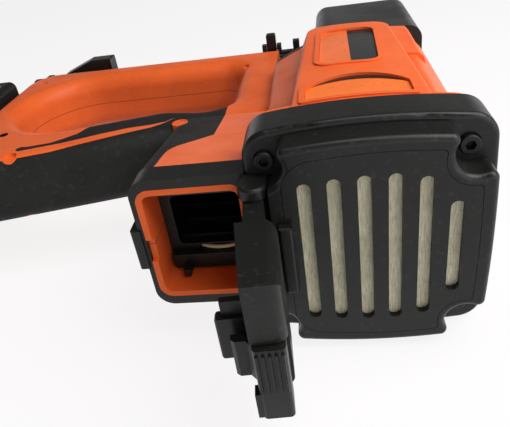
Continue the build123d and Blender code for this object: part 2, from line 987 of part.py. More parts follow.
def housing_screws():
    screws = []
    seat = -housing_screw_top
    for (x, y), floor in zip(housing_screw_places, dimple_floors):
        head = rod_z(housing_screw_head, seat - housing_screw_head_length, seat, x, y)
        end = min(seat + housing_screw_length, floor - run_gap)
        shank = rod_z(housing_screw_radius, seat, end - run_gap, x, y)
        cross = Pos(x, y) * (Rectangle(4.0, 0.9) + Rectangle(0.9, 4.0))
        recess = along_z(cross, seat - housing_screw_head_length, seat - housing_screw_head_length / 2)
        screws.append(head + shank - recess)
    return group(screws)


# Fuel compartment fittings

def compartment_collar():
    right = cap_left - seat_gap
    width = right - collar_left
    middle = (right + collar_left) / 2
    face = Pos(middle, 0) * Rectangle(width, 2 * collar_half)
    face = fillet(face.vertices().sort_by(Axis.X)[:2], collar_corner)
    face = face - Pos(seat_gap, 0) * mouth_outline(-seat_gap, mouth_half, mouth_right)
    ring = along_y(face, mouth_y, collar_end)
    catch = block(
        collar_left - catch_proud, collar_left + 1,
        mouth_y - 1, mouth_y + catch_length, catch_low, catch_high,
    )
    catch = fillet(catch.edges().filter_by(Axis.Z).sort_by(Axis.X)[:2], 1.5)
    return ring + catch


def fuel_cage():
    """A ribbed sleeve for the fuel cell behind a bezel, with an apron that fills the mouth's foot."""
    width = cage_right - cage_left
    middle = (cage_left + cage_right) / 2
    inner_half = cage_half - cage_wall
    outer = Pos(middle, 0) * RectangleRounded(width, 2 * cage_half, cage_corner)
    inner = Pos(middle, 0) * RectangleRounded(width - 2 * cage_wall, 2 * inner_half, cage_corner - 1)
    bezel_face = mouth_outline(mouth_wall + seat_gap, mouth_half - bezel_drop, mouth_right) - inner
    bezel = along_y(bezel_face, cage_start, cage_start + bezel_depth)
    sleeve = along_y(outer - inner, cage_start, cage_end)
    pitch = (cage_end - cage_start) / cage_windows
    for index in range(cage_windows):
        low = cage_start + bezel_depth + index * pitch + cage_rib
        rib = block(
            cage_left + 1, cage_right - 1, low, low + cage_rib,
            inner_half - cage_rib_rise, inner_half + 1,
        )
        sleeve = sleeve + both_sides(rib)
    end = along_y(outer, cage_end - cage_end_wall, cage_end)
    for index in range(cage_windows):
        z = (index - (cage_windows - 1) / 2) * 2 * cage_half / cage_windows
        end = end + block(
            cage_left + cage_wall, cage_right - cage_wall,
            cage_end - cage_end_wall - cage_end_rib, cage_end - 1,
            z - cage_end_rib_half, z + cage_end_rib_half,
        )
    return bezel + sleeve + end + cage_apron() - lead_groove()


def cage_apron():
    """The apron under the cage's mouth, with a foot on the compartment's floor."""
    spare = mouth_wall + apron_spare
    start = cage_start - apron_depth
    apron = along_y(mouth_outline(spare, mouth_half, mouth_right), start, cage_start + bezel_depth)
    apron = apron & block(-far, far, -far, far, -far, -cage_half - apron_drop)
    left = cage_left + foot_left
    low = spare - mouth_half
    return apron + block(left, left + foot_width, start - foot_length, start + 1, low, low + foot_height)


def lead_level():
    return lead_radius + pin_gap - cage_half - apron_drop


def lead_groove():
    """The groove in the bezel's face that the lead lies in."""
    reach = lead_radius + seat_gap
    z = lead_level()
    return block(
        lead_left - reach, lead_right + reach, -far, cage_start + lead_seat + reach,
        z - lead_radius - pin_gap, z + reach,
    )


def ignition_lead():
    """A round wire that bows out over the apron, with both ends in the bezel's groove."""
    y = cage_start + lead_seat
    z = lead_level()
    middle = (lead_left + lead_right) / 2
    path = ThreePointArc((lead_left, y, z), (middle, cage_start - lead_bow, z), (lead_right, y, z))
    return sweep(Plane(path @ 0, z_dir=path % 0) * Circle(lead_radius), path=path)


def ignition_coil():
    """The igniter's coil, held in the hollow of the post."""
    left = post_left + rubber + frame_wall + seat_gap
    right = barrel_left - frame_wall - seat_gap
    start = pocket_y + coil_start
    end = start + coil_length
    half = frame_half - rubber - frame_wall - coil_room
    body = block(left, right, start, end, -half, half)
    tower = rod_y(coil_tower_radius, end - 1, end + coil_tower, (left + right) / 2)
    return body + tower


# Fuel door

def door_spot(shape, angle=None):
    """Turns a piece drawn on the closed door about the hinge pin to the open rest pose."""
    turn = door_open if angle is None else angle
    return Pos(hinge_x, hinge_y) * Rot(0, 0, turn) * Pos(-hinge_x, -hinge_y) * shape


def door_x(along):
    return hinge_x - along


def door_prism(points, low, high):
    """A piece of the closed door from distances along the door and through it."""
    return along_z(polygon(*[(door_x(along), hinge_y + through) for along, through in points]), low, high)


def fuel_door_closed():
    half = door_half
    box = door_prism(
        ((door_neck, -door_out), (door_length, -door_out), (door_length, door_in_end), (door_neck, door_in)),
        -half, half,
    )
    box = fillet(box.edges().group_by(Axis.Y)[0], door_round)
    hollow = block(
        door_x(hollow_end), door_x(hollow_start),
        hinge_y - door_out + door_wall, hinge_y + door_in, -half + door_wall, half - door_wall,
    )
    box = box - hollow
    neck = block(
        door_x(door_neck + 1), hinge_x, hinge_y - door_neck_out, hinge_y + knuckle_radius - run_gap,
        -door_neck_half, door_neck_half,
    )
    knuckle = rod_z(knuckle_radius, -door_neck_half, door_neck_half, hinge_x, hinge_y)
    body = box + neck + knuckle - latch_space()
    body = body - rod_z(hinge_pin_radius + pin_gap, -far, far, hinge_x, hinge_y)
    pin_x, pin_y = latch_pin_place()
    return body - rod_z(latch_pin_radius, -half, latch_top + latch_pin_grip, pin_x, pin_y)


def latch_space():
    """The lower half of the door's free end, where the latch turns."""
    return block(-far, door_x(door_length - latch_depth), -far, far, -far, latch_top + run_gap)


def latch_pin_place():
    return door_x(door_length - latch_depth + latch_arm), hinge_y


def door_latch_closed():
    """A ribbed thumb lever on a pin, with a hook that reaches into the compartment's mouth."""
    start = door_length - latch_depth + latch_gap
    lever = door_prism(
        ((start, -latch_out), (latch_end, -latch_out), (latch_end, latch_in), (start, latch_in)),
        latch_low, latch_top,
    )
    lever = fillet(lever.edges().filter_by(Axis.Z).group_by(Axis.X)[0], latch_round)
    tip_end = latch_end - latch_tip_proud / 2
    tip_start = tip_end - latch_tip_length
    tip_in = latch_in + latch_tip_proud
    tip = door_prism(
        ((tip_start, 0), (tip_end, 0), (tip_end, tip_in), (tip_start, tip_in)),
        latch_low, latch_low + latch_tip_height,
    )
    reach = latch_hook_reach
    width = latch_hook_width
    hook = door_prism(
        ((start, 0), (start + width, 0), (start + width, latch_in),
         (start + seat_gap, latch_in + 0.8 * width), (start + seat_gap, reach - 0.4 * width),
         (start - 0.3 * width, reach), (start - width, reach), (start - width, reach - 1.1 * width),
         (start, latch_in + 0.6 * width)),
        catch_low - latch_hook_low, latch_top - latch_hook_high,
    )
    body = lever + tip + hook
    margin = 2 * latch_rib_base
    pitch = (latch_out + latch_in - 2 * margin) / (latch_ribs - 1)
    for index in range(latch_ribs):
        through = margin - latch_out + index * pitch
        rib = door_prism(
            ((latch_end - latch_rib_height, through - latch_rib_base),
             (latch_end + latch_rib_height, through - latch_rib_crest),
             (latch_end + latch_rib_height, through + latch_rib_crest),
             (latch_end - latch_rib_height, through + latch_rib_base)),
            latch_low + latch_rib_low, latch_top - latch_rib_top,
        )
        body = body + rib
    pin_x, pin_y = latch_pin_place()
    return body - rod_z(latch_pin_radius + pin_gap, -far, far, pin_x, pin_y)


def door_latch_pin_closed():
    pin_x, pin_y = latch_pin_place()
    return rod_z(latch_pin_radius, latch_low + run_gap, latch_top + latch_pin_grip - run_gap, pin_x, pin_y)


def door_latch_spring_closed():
    """A leaf that pushes the latch back, seated on the door's inner end wall."""
    near = door_length - latch_depth + leaf_gap
    end = near + leaf_thickness
    return door_prism(
        ((near, leaf_width), (end, leaf_width), (end, 2 * leaf_width), (near, 2 * leaf_width)),
        leaf_low, leaf_high,
    )


def door_pressure_block_closed():
    """The pad and step on the door's inner side that press on the fuel cell."""
    floor = door_wall - door_out
    start = hollow_start + pad_share * (hollow_end - hollow_start)
    end = hollow_end - pad_margin
    pad = door_prism(((start, floor), (end, floor), (end, pad_top), (start, pad_top)), pad_low, pad_high)
    pad = fillet(pad.edges().group_by(Axis.Y)[-1], min(pad_round, (end - start) / 3))
    step_end = end - step_inset
    step = door_prism(
        ((start, floor), (step_end, floor), (step_end, step_top), (start, step_top)), pad_high, step_high,
    )
    near = hollow_start + base_margin
    last = hollow_end - base_margin
    top = floor + base_thickness
    base = door_prism(((near, floor), (last, floor), (last, top), (near, top)), base_low, base_high)
    return pad + step + base


def door_hinge_pin():
    reach = hinge_pin_half()
    return rod_z(hinge_pin_radius, -reach, reach, hinge_x, hinge_y)


# Drive unit

def cylinder_head():
    face = cap_outline(cap_wall + seat_gap) - screw_columns(cap_screw_column + seat_gap)
    plate = along_y(face, head_start, pocket_end)
    disc = rod_y(head_radius, pocket_end - 1, head_front)
    groove_start = head_front - head_groove
    groove = rod_y(head_radius + 1, groove_start, groove_start + 2 * seal_radius)
    groove = groove - rod_y(head_radius - 2 * seal_radius, 0, far)
    body = plate + disc - groove
    body = body - rod_y(motor_radius + slide_gap, 0, motor_end)
    body = body - rod_y(motor_shaft_radius + 2, 0, far)
    return body - rod_y(plug_radius + seat_gap, 0, far, plug_x, plug_z)


def ring_solid(outer, inner, start, end):
    return rod_y(outer, start, end) - rod_y(inner, start, end)


def head_seal():
    start = head_front - head_groove + seat_gap
    width = 2 * seal_radius - 2 * seat_gap
    return ring_solid(head_radius + 0.2, head_radius - 2 * seal_radius + seat_gap, start, start + width)


def fan_motor():
    can = rod_y(motor_radius, motor_start, motor_end - seat_gap)
    can = round_low_y(can, 2.0)
    return can - rod_y(motor_shaft_radius + slide_gap, motor_start + 4, far)


def motor_shaft():
    return rod_y(motor_shaft_radius, motor_start + 5, fan_start + fan_depth + 2)


def fan():
    hub = rod_y(fan_hub_radius, fan_start, fan_start + fan_depth)
    body = hub
    for index in range(fan_blades):
        blade = block(fan_hub_radius - 2, fan_radius, -1.0, 1.0, -4.5, 4.5)
        blade = Rot(-35, 0, 0) * blade
        middle = fan_start + fan_depth / 2
        body = body + Pos(0, middle, 0) * Rot(0, index * 360 / fan_blades, 0) * blade
    keep = rod_y(fan_radius, fan_start, fan_start + fan_depth)
    return (body & keep) - rod_y(motor_shaft_radius, 0, far)


def spark_plug():
    end = head_front + 2.5
    start = end - plug_length
    body = rod_y(plug_radius, head_start + 2, end - 3, plug_x, plug_z)
    nut_face = Pos(plug_x, plug_z) * RegularPolygon(6.0, 6, major_radius=False)
    nut = along_y(nut_face, head_start - 6, head_start - seat_gap)
    insulator = rod_y(3.2, start, head_start + 3, plug_x, plug_z)
    electrode = rod_y(0.9, end - 4, end, plug_x, plug_z)
    return body + nut + insulator + electrode


def combustion_sleeve():
    outer = sleeve_radius + sleeve_wall
    body = ring_solid(outer, sleeve_radius, sleeve_start, sleeve_end)
    lip = ring_solid(outer, sleeve_lip_radius, sleeve_end - sleeve_lip, sleeve_end)
    body = body + lip
    for z in (rod_offset, -rod_offset):
        body = body - rod_y(rod_radius, sleeve_end - sleeve_lip, far, 0, z)
    return body


def cylinder():
    outer = bore_radius + cylinder_wall
    body = rod_y(outer, cylinder_start, cylinder_end)
    flange = rod_y(sleeve_radius - 0.5, cylinder_start, cylinder_start + cylinder_flange)
    groove_start = cylinder_start + 2.4
    groove = ring_solid(
        sleeve_radius + 1, sleeve_radius - 0.5 - 2 * seal_radius,
        groove_start, groove_start + 2 * seal_radius,
    )
    foot = rod_y(cylinder_foot_radius, cylinder_end - cylinder_foot, cylinder_end)
    body = body + (flange - groove) + foot
    for index in range(fin_count):
        start = fin_first + index * fin_pitch
        body = body + rod_y(fin_radius, start, start + fin_thickness)
    body = body - rod_y(bore_radius, 0, cylinder_end - cylinder_foot)
    body = body - rod_y(blade_radius + 2, 0, far)
    for x, z in nose_screw_places():
        body = body - rod_y(nose_screw_radius, cylinder_end - cylinder_foot, far, x, z)
    return body


def cylinder_seal():
    start = cylinder_start + 2.4 + seat_gap
    outer = sleeve_radius - 0.3
    inner = sleeve_radius - 0.5 - 2 * seal_radius + seat_gap
    return ring_solid(outer, inner, start, start + 2 * seal_radius - 2 * seat_gap)


def piston():
    radius = bore_radius - piston_gap
    body = rod_y(radius, piston_start, piston_start + piston_length)
    groove = ring_solid(radius + 1, radius - 2.2, piston_start + 3, piston_start + 3 + ring_width)
    return body - groove - rod_y(blade_radius, piston_start + 3, far)


def piston_ring():
    start = piston_start + 3 + pin_gap
    end = start + ring_width - 2 * pin_gap
    return ring_solid(bore_radius - pin_gap, bore_radius - piston_gap - 2.0, start, end)


def driver_blade():
    blade = rod_y(blade_radius, piston_start + 3, blade_tip)
    flats = block(-far, far, piston_start + piston_length + 10, far, blade_radius - 0.5, far)
    return blade - both_sides(flats)


def cylinder_bumper():
    end = cylinder_end - cylinder_foot
    ring = ring_solid(bore_radius - 0.3, blade_radius + 0.6, end - bumper_length, end - 0.1)
    return fillet(ring.edges().group_by(Axis.Y)[0], 1.5)


# Nose

def nose_screw_places():
    angles = [math.radians(45 + 90 * index) for index in range(4)]
    return [(nose_screw_circle * math.cos(a), nose_screw_circle * math.sin(a)) for a in angles]


def nose_outline(inset=0.0):
    """The nose casing's section, with slanted corners on the magazine's side."""
    upper = [
        (nose_left, nose_side_half), (nose_slant_left, nose_slant_half),
        (nose_top_left, nose_half), (nose_right, nose_half),
    ]
    lower = [(x, -z) for x, z in reversed(upper)]
    face = polygon(*inset_corners(upper + lower, inset))
    return fillet(face.vertices(), nose_corner - inset)


def nose_housing():
    start = barrel_end + seat_gap
    plate = round_high_y(along_y(core_outline(plate_inset), start, start + nose_plate), 3.0)
    shroud = along_y(nose_outline(), start, nose_end)
    shroud = round_high_y(shroud, 3.0)
    spigot = along_y(core_outline(barrel_wall + seat_gap), start - 5, start)
    body = plate + shroud + spigot
    way = nose_outline(nose_wall) & core_outline(2 * barrel_wall)
    body = body - along_y(way, 0, bulkhead_start)
    body = body - along_y(nose_outline(nose_wall), start + nose_plate, bulkhead_start)
    body = body - along_y(nose_outline(nose_wall), nosepiece_start, far)
    body = body - rod_y(blade_radius + 2, 0, far)
    for z in (rod_offset, -rod_offset):
        body = body - rod_y(rod_radius + run_gap, 0, far, 0, z)
    for x, z in nose_screw_places():
        body = body - rod_y(nose_screw_radius + seat_gap, 0, far, x, z)
    spread = magazine_rail_half + run_gap
    feed_way = block(-far, nose_left + nose_wall + 1, nosepiece_start, far, -spread, spread)
    return body - feed_way


def nosepiece():
    start = nosepiece_start
    flange = rod_y(cylinder_foot_radius, start, start + nosepiece_flange)
    body = block(
        -nosepiece_half_x, nosepiece_half_x, start + 1, nosepiece_block_end,
        -nosepiece_half_z, nosepiece_half_z,
    )
    body = fillet(body.edges().filter_by(Axis.Y), 4.0)
    barrel = rod_y(nosepiece_barrel, nosepiece_block_end - 1, nosepiece_tip)
    solid = flange + body + barrel - rod_y(nail_bore_radius, 0, far)
    solid = solid - rod_y(exit_bore_radius, nosepiece_block_end, far)
    for x, z in nose_screw_places():
        solid = solid - rod_y(nose_screw_radius + seat_gap, 0, far, x, z)
        solid = solid - rod_y(nose_screw_head + seat_gap, start + nosepiece_flange, far, x, z)
    for z in (rod_offset, -rod_offset):
        solid = solid - rod_y(spring_radius + spring_wire, 0, far, 0, z)
    return solid - block(-far, 0, nail_top, nail_bottom, -nail_half, nail_half)


def nosepiece_screws():
    seat = nosepiece_start + nosepiece_flange
    screws = []
    for x, z in nose_screw_places():
        head = rod_y(nose_screw_head, seat, seat + 3.5, x, z)
        socket = along_y(Pos(x, z) * RegularPolygon(1.5, 6, major_radius=False), seat + 1.5, seat + 3.5)
        shank = rod_y(nose_screw_radius, seat - nose_screw_length, seat, x, z)
        screws.append(head + shank - socket)
    return group(screws)


def contact_probe():
    inner = nosepiece_barrel + slide_gap
    outer = inner + probe_wall
    tube = ring_solid(outer, inner, probe_start, probe_start + probe_length)
    tube = fillet(tube.edges().group_by(Axis.Y)[-1].sort_by(SortBy.RADIUS)[-1], 1.5)
    low = nosepiece_half_z + 0.8
    high = low + probe_strap
    half = probe_half_width
    strap = block(-half, half, probe_arm_start, probe_start + 6, low, high)
    link = block(-half, half, probe_start, probe_start + 6, inner + 0.5, high)
    arm = block(-half, half, probe_arm_start, probe_arm_start + probe_arm, low, rod_offset + 5)
    body = tube + both_sides(strap + link + arm)
    body = body - rod_y(inner, 0, far)
    for z in (rod_offset, -rod_offset):
        body = body - rod_y(rod_radius, 0, far, 0, z)
    return body


def probe_rods():
    start = sleeve_end - sleeve_lip
    end = probe_arm_start + probe_arm
    return group([rod_y(rod_radius, start, end, 0, z) for z in (rod_offset, -rod_offset)])


def coil_spring(radius, wire, length, turns):
    """A coil about +Z from z = 0, in quarter turns of constant climb, with its least gap."""
    quarters = 4 * turns
    climb = (length - wire) / quarters
    points = []
    for index in range(2 * quarters + 1):
        angle = math.radians(45 * index)
        points.append((radius * math.cos(angle), radius * math.sin(angle), wire / 2 + climb * index / 2))
    arcs = [ThreePointArc(*points[2 * i:2 * i + 3]) for i in range(quarters)]
    path = Wire(arcs)
    gap = 4 * climb - wire
    return sweep(Plane(path @ 0, z_dir=path % 0) * Circle(wire / 2), path=path), gap


def probe_springs():
    start = nosepiece_start + seat_gap
    length = probe_arm_start - seat_gap - start
    spring, gap = coil_spring(spring_radius, spring_wire, length, spring_turns)
    print("probe spring least gap", round(gap, 2))
    upright = Pos(0, start, 0) * Rot(-90, 0, 0) * spring
    return group([Pos(0, 0, z) * upright for z in (rod_offset, -rod_offset)])


# Magazine

def magazine_body():
    rail = block(
        magazine_left, magazine_rail_right, bar_front, bar_front + magazine_rail_depth,
        -magazine_rail_half, magazine_rail_half,
    )
    rail = fillet(rail.edges().filter_by(Axis.X), 2.0)
    body = block(
        magazine_left, magazine_right, bar_front + magazine_rail_depth - 1, magazine_end,
        -magazine_half, magazine_half,
    )
    body = fillet(body.edges().filter_by(Axis.X).group_by(Axis.Y)[-1], 3.0)
    channel = block(-far, far, nail_top, nail_bottom, -nail_half, nail_half)
    slot = block(
        pusher_left - run_gap, pusher_left + pusher_length + pusher_travel + run_gap,
        pusher_slot_start - run_gap, pusher_slot_start + pusher_slot_width + run_gap, 0, far,
    )
    solid = rail + body + lever_ears() - channel - slot
    return solid - lever_pin_hole()


def lever_middle():
    return bar_front + magazine_rail_depth / 2


def lever_ears():
    """Two ears for the latch's pin, on a raised base at the rail's right end that ends in a lug."""
    near = lever_middle() - lever_ear_half
    end = lever_middle() + lever_ear_half
    low = magazine_rail_half - 2
    left = lever_left - lever_ear - run_gap
    top = lever_pin_rise + lever_pin_cover
    ears = block(left, magazine_rail_right, near, end, low, lever_base_rise)
    for x in (left, lever_left + lever_width + run_gap):
        ears = ears + block(x, x + lever_ear, near, end, low, top)
    return ears + block(magazine_rail_right - lug_width, magazine_rail_right, near, end, low, lug_rise)


def lever_pin(radius, spare):
    left = lever_left - lever_ear - run_gap - spare
    right = lever_left + lever_width + lever_ear + run_gap + spare
    face = Pos(lever_middle(), lever_pin_rise) * Circle(radius)
    return extrude(Plane.YZ.offset(left) * face, amount=right - left)


def lever_pin_hole():
    return lever_pin(lever_pin_radius, 1)


def magazine_latch():
    y = lever_middle()
    half = lever_thickness / 2
    foot_face = Pos(y, lever_pin_rise) * Circle(half)
    foot = extrude(Plane.YZ.offset(lever_left) * foot_face, amount=lever_width)
    stem = block(lever_left, lever_left + lever_width, y - half, y + half, lever_pin_rise, lever_rise)
    stem = fillet(stem.edges().group_by(Axis.Z)[-1], 1.8)
    return foot + stem - lever_pin(lever_pin_radius + pin_gap, 1)


def magazine_end_cap():
    body = block(
        magazine_left - end_cap_length, magazine_left, bar_front + magazine_rail_depth, magazine_end,
        -magazine_half, magazine_half,
    )
    body = fillet(body.edges().group_by(Axis.X)[0], 2.5)
    plug = block(
        magazine_left - 1, magazine_left + 8,
        nail_top + seat_gap, nail_bottom - rail_thickness - 2 * seat_gap,
        -nail_half + seat_gap, nail_half - seat_gap,
    )
    return body + plug


def nail_rail():
    return block(
        magazine_left + 1, magazine_right - 1,
        nail_bottom - rail_thickness - seat_gap, nail_bottom - seat_gap,
        -nail_half + seat_gap, nail_half - seat_gap,
    )


def nail_pusher():
    right = pusher_left + pusher_length
    half = nail_half - run_gap
    bottom = nail_bottom - rail_thickness - seat_gap - run_gap
    follower = block(pusher_left + 6, right - 4, nail_top + run_gap, bottom, -half, half)
    stem = block(
        pusher_left + 8, right - 8, pusher_slot_start, pusher_slot_start + pusher_slot_width,
        0, magazine_half + run_gap + 1,
    )
    low = magazine_half + run_gap
    y_low = bar_front + magazine_rail_depth + run_gap
    profile = polygon(
        (pusher_left, low), (right, low), (right, pusher_knob_rise),
        (pusher_left + pusher_slant, pusher_knob_rise), (pusher_left, magazine_rail_half),
    )
    knob = along_y(profile, y_low, pusher_slot_start + pusher_slot_width + 4)
    knob = fillet(knob.edges().group_by(Axis.Z)[-1], 1.2)
    return follower + stem + knob


def pusher_spring():
    """The roll of flat spring steel behind the follower, with its core."""
    x = pusher_left + 6 - 3.4
    y = (nail_top + nail_bottom) / 2
    half = nail_half - run_gap
    return rod_z(3.2, -half, half, x, y)


# Trigger and electrics

def trigger():
    start = trigger_start
    end = trigger_start + trigger_length
    rim = grip_half + 1
    outline = make_face([
        Line((start, trigger_inner), (start, trigger_reach)),
        ThreePointArc((start, trigger_reach), (start + 9, trigger_reach - 5), (end - 4, trigger_reach - 4)),
        Line((end - 4, trigger_reach - 4), (end, rim)),
        Line((end, rim), (end, trigger_inner)),
        Line((end, trigger_inner), (start, trigger_inner)),
    ])
    solid = along_z(grip_place * outline, -trigger_half, trigger_half)
    solid = round_both_z(solid, 1.0)
    pivot_x, pivot_y = grip_point(trigger_pivot_along, trigger_pivot_out)
    return solid - rod_z(trigger_pin_radius + pin_gap, -far, far, pivot_x, pivot_y)


def trigger_pin():
    pivot_x, pivot_y = grip_point(trigger_pivot_along, trigger_pivot_out)
    return rod_z(trigger_pin_radius, -trigger_pin_half, trigger_pin_half, pivot_x, pivot_y)


def grip_floor():
    """How far the hollow's rear wall lies from the grip's axis."""
    return rubber + frame_wall - grip_half


def trigger_switch():
    floor = grip_floor() + seat_gap
    body = trigger_box(trigger_start, switch_length, floor, floor + switch_height, switch_half)
    plunger = trigger_box(trigger_start + 1, 4, floor + switch_height - 1, trigger_inner - 3, 2)
    return body + plunger


def trigger_spring():
    low = grip_floor() + switch_height + 2 * seat_gap
    high = trigger_inner - seat_gap
    coil, gap = coil_spring(trigger_spring_radius, trigger_spring_wire, high - low, trigger_spring_turns)
    print("trigger spring least gap", round(gap, 2))
    return grip_place * Pos(trigger_start + switch_length - 3.2, low, 0) * Rot(-90, 0, 0) * coil


def control_board():
    low = -frame_half + rubber + frame_wall + seat_gap
    face = grip_place * Pos(-20, -2) * Rectangle(board_length, board_width)
    tray = along_z(face, low, low + board_height - 2)
    chips = Sketch() + [
        grip_place * Pos(-38 + 12 * index, 1) * Rectangle(8, 6 + 2 * (index % 2)) for index in range(4)
    ]
    return tray + along_z(chips, low + board_height - 3, low + board_height)


# Battery

def shoe_profile(gap=0.0):
    """The T-shaped rail's outline across the tool, standing off the frame's left end."""
    base = frame_left - seat_gap
    neck = base - shoe_plate - shoe_head
    head = neck - shoe_head
    return polygon(
        (base - shoe_plate + 1, -shoe_neck_half - gap), (neck + gap, -shoe_neck_half - gap),
        (neck + gap, -shoe_head_half - gap), (head - gap, -shoe_head_half - gap),
        (head - gap, shoe_head_half + gap), (neck + gap, shoe_head_half + gap),
        (neck + gap, shoe_neck_half + gap), (base - shoe_plate + 1, shoe_neck_half + gap),
    )


def battery_shoe():
    base = frame_left - seat_gap
    plate = block(base - shoe_plate, base, shoe_rear, shoe_front, -shoe_half, shoe_half)
    plate = fillet(plate.edges().filter_by(Axis.X), 4.0)
    rail = along_y(shoe_profile(), shoe_rear + 8, shoe_front - 4)
    return plate + rail


def battery_box():
    right = frame_left - seat_gap - shoe_plate - run_gap
    return right - battery_length, right


def battery_pack():
    left, right = battery_box()
    body = block(left, right, battery_rear, battery_front, -battery_half, battery_half)
    body = fillet(body.edges().filter_by(Axis.Y), battery_round)
    body = round_low_y(body, 3.0)
    body = body - along_y(shoe_profile(run_gap), shoe_rear + 8 - run_gap, far)
    label = battery_label_block(seat_gap)
    button = battery_button_block(run_gap)
    return body - label - button


def battery_label_block(gap):
    left, right = battery_box()
    return block(
        left + 7 - gap, right - 7 + gap, battery_rear + 40 - gap, battery_front - 8 + gap,
        battery_half - 1 - gap, far,
    )


def battery_label():
    return battery_label_block(0) & block(-far, far, -far, far, 0, battery_half - seat_gap)


def battery_button_block(gap):
    left, right = battery_box()
    middle = (left + right) / 2
    half = battery_button / 2
    return block(
        middle - half - gap, middle + half + gap, -far, battery_rear + 9 + gap, -half - gap, half + gap,
    )


def battery_latch():
    end = battery_rear + 9 - battery_button_travel
    button = battery_button_block(0) & block(-far, far, battery_rear + 0.4, end, -far, far)
    return fillet(button.edges().group_by(Axis.Y)[0], 1.5)


def battery_contacts():
    """Two brass blades on the rail's head, inside the battery's groove."""
    base = frame_left - seat_gap - shoe_plate - 2 * shoe_head
    blades = []
    for z in (-6.0, 6.0):
        blades.append(block(base - run_gap + 0.1, base, shoe_rear + 20, shoe_rear + 50, z - 2, z + 2))
    return group(blades)


def build():
    """Every piece by name, before the origin is set."""
    skin = rubber_solid()
    shell = housing(skin)
    parts = {
        "housing_left": half_of(shell, 1),
        "housing_right": half_of(shell, -1),
        "grip_left": half_of(skin, 1),
        "grip_right": half_of(skin, -1),
        "rear_cover": rear_cover(),
        "filter_cover": filter_cover(),
        "air_filter": air_filter(),
        "rear_cover_screws": rear_cover_screws(),
        "housing_screws": housing_screws(),
        "compartment_collar": compartment_collar(),
        "fuel_cage": fuel_cage(),
        "ignition_lead": ignition_lead(),
        "ignition_coil": ignition_coil(),
        "fuel_door": door_spot(fuel_door_closed()),
        "door_pressure_block": door_spot(door_pressure_block_closed()),
        "door_latch": door_spot(door_latch_closed()),
        "door_latch_pin": door_spot(door_latch_pin_closed()),
        "door_latch_spring": door_spot(door_latch_spring_closed()),
        "door_hinge_pin": door_hinge_pin(),
        "cylinder_head": cylinder_head(),
        "head_seal": head_seal(),
        "fan_motor": fan_motor(),
        "motor_shaft": motor_shaft(),
        "fan": fan(),
        "spark_plug": spark_plug(),
        "combustion_sleeve": combustion_sleeve(),
        "cylinder": cylinder(),
        "cylinder_seal": cylinder_seal(),
        "piston": piston(),
        "piston_ring": piston_ring(),
        "driver_blade": driver_blade(),
        "cylinder_bumper": cylinder_bumper(),
        "nose_housing": nose_housing(),
        "nosepiece": nosepiece(),
        "nosepiece_screws": nosepiece_screws(),
        "contact_probe": contact_probe(),
        "probe_rods": probe_rods(),
        "probe_springs": probe_springs(),
        "magazine_body": magazine_body(),
        "magazine_end_cap": magazine_end_cap(),
        "magazine_latch": magazine_latch(),
        "magazine_latch_pin": lever_pin(lever_pin_radius, 0),
        "nail_rail": nail_rail(),
        "nail_pusher": nail_pusher(),
        "pusher_spring": pusher_spring(),
        "trigger": trigger(),
        "trigger_pin": trigger_pin(),
        "trigger_spring": trigger_spring(),
        "trigger_switch": trigger_switch(),
        "control_board": control_board(),
        "battery_shoe": battery_shoe(),
        "battery_pack": battery_pack(),
        "battery_label": battery_label(),
        "battery_latch": battery_latch(),
        "battery_contacts": battery_contacts(),
    }
    for name, outline in (("side_label", side_label_outline), ("band_label", band_label_outline)):
        plate = label_layer(outline(seat_gap), label_depth, label_depth - label_thickness)
        parts[name + "_left"] = half_of(plate, 1)
        parts[name + "_right"] = half_of(plate, -1)
    return parts


def origin_shift(parts):
    """Moves the middle of the model's footprint to the origin and its lowest point to z = 0."""
    box = Compound(children=[Compound(part.solids()) for part in parts.values()]).bounding_box()
    return Pos(-(box.min.X + box.max.X) / 2, -(box.min.Y + box.max.Y) / 2, -box.min.Z)


def main():
    os.makedirs("parts", exist_ok=True)
    parts = build()
    shift = origin_shift(parts)
    print("origin shift", shift.position)
    for name, part in parts.items():
        export_step(shift * part, os.path.join("parts", name + ".step"))


if __name__ == "__main__":
    main()
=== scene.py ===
import json
import math

import bmesh
import bpy
import numpy as np
from mathutils import Matrix, Vector


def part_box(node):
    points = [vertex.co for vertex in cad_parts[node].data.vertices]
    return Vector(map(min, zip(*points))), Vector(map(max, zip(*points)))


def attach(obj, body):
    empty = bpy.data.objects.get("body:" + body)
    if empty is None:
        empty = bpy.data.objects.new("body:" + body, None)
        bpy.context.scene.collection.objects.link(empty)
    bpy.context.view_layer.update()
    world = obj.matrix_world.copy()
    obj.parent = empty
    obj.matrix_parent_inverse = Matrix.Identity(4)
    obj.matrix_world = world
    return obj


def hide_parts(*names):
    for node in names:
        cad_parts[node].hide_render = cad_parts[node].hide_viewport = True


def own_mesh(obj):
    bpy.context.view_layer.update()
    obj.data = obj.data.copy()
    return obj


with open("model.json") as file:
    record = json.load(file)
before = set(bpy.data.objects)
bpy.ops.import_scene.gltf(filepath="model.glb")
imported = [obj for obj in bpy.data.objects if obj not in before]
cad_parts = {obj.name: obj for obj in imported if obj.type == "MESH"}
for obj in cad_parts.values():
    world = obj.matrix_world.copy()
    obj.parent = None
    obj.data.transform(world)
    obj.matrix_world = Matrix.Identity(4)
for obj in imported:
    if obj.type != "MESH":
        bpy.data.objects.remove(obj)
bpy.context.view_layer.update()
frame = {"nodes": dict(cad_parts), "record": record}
nodes = frame["nodes"]
MM = 0.001

# The drive axis, the cap's rear face and the middle plane of the tool, found from the rear cap
cap_low, cap_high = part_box("rear_cover")
FLANGE_FRONT = 35.0
CAP_SIDE = 49.5
home = Vector((cap_high.x - CAP_SIDE * MM, cap_high.y - FLANGE_FRONT * MM, (cap_low.z + cap_high.z) / 2))


def place(x, y, z):
    """A point in the shared frame, given in millimetres from the axis, the cap's rear face and the middle."""
    return home + Vector((x, y, z)) * MM


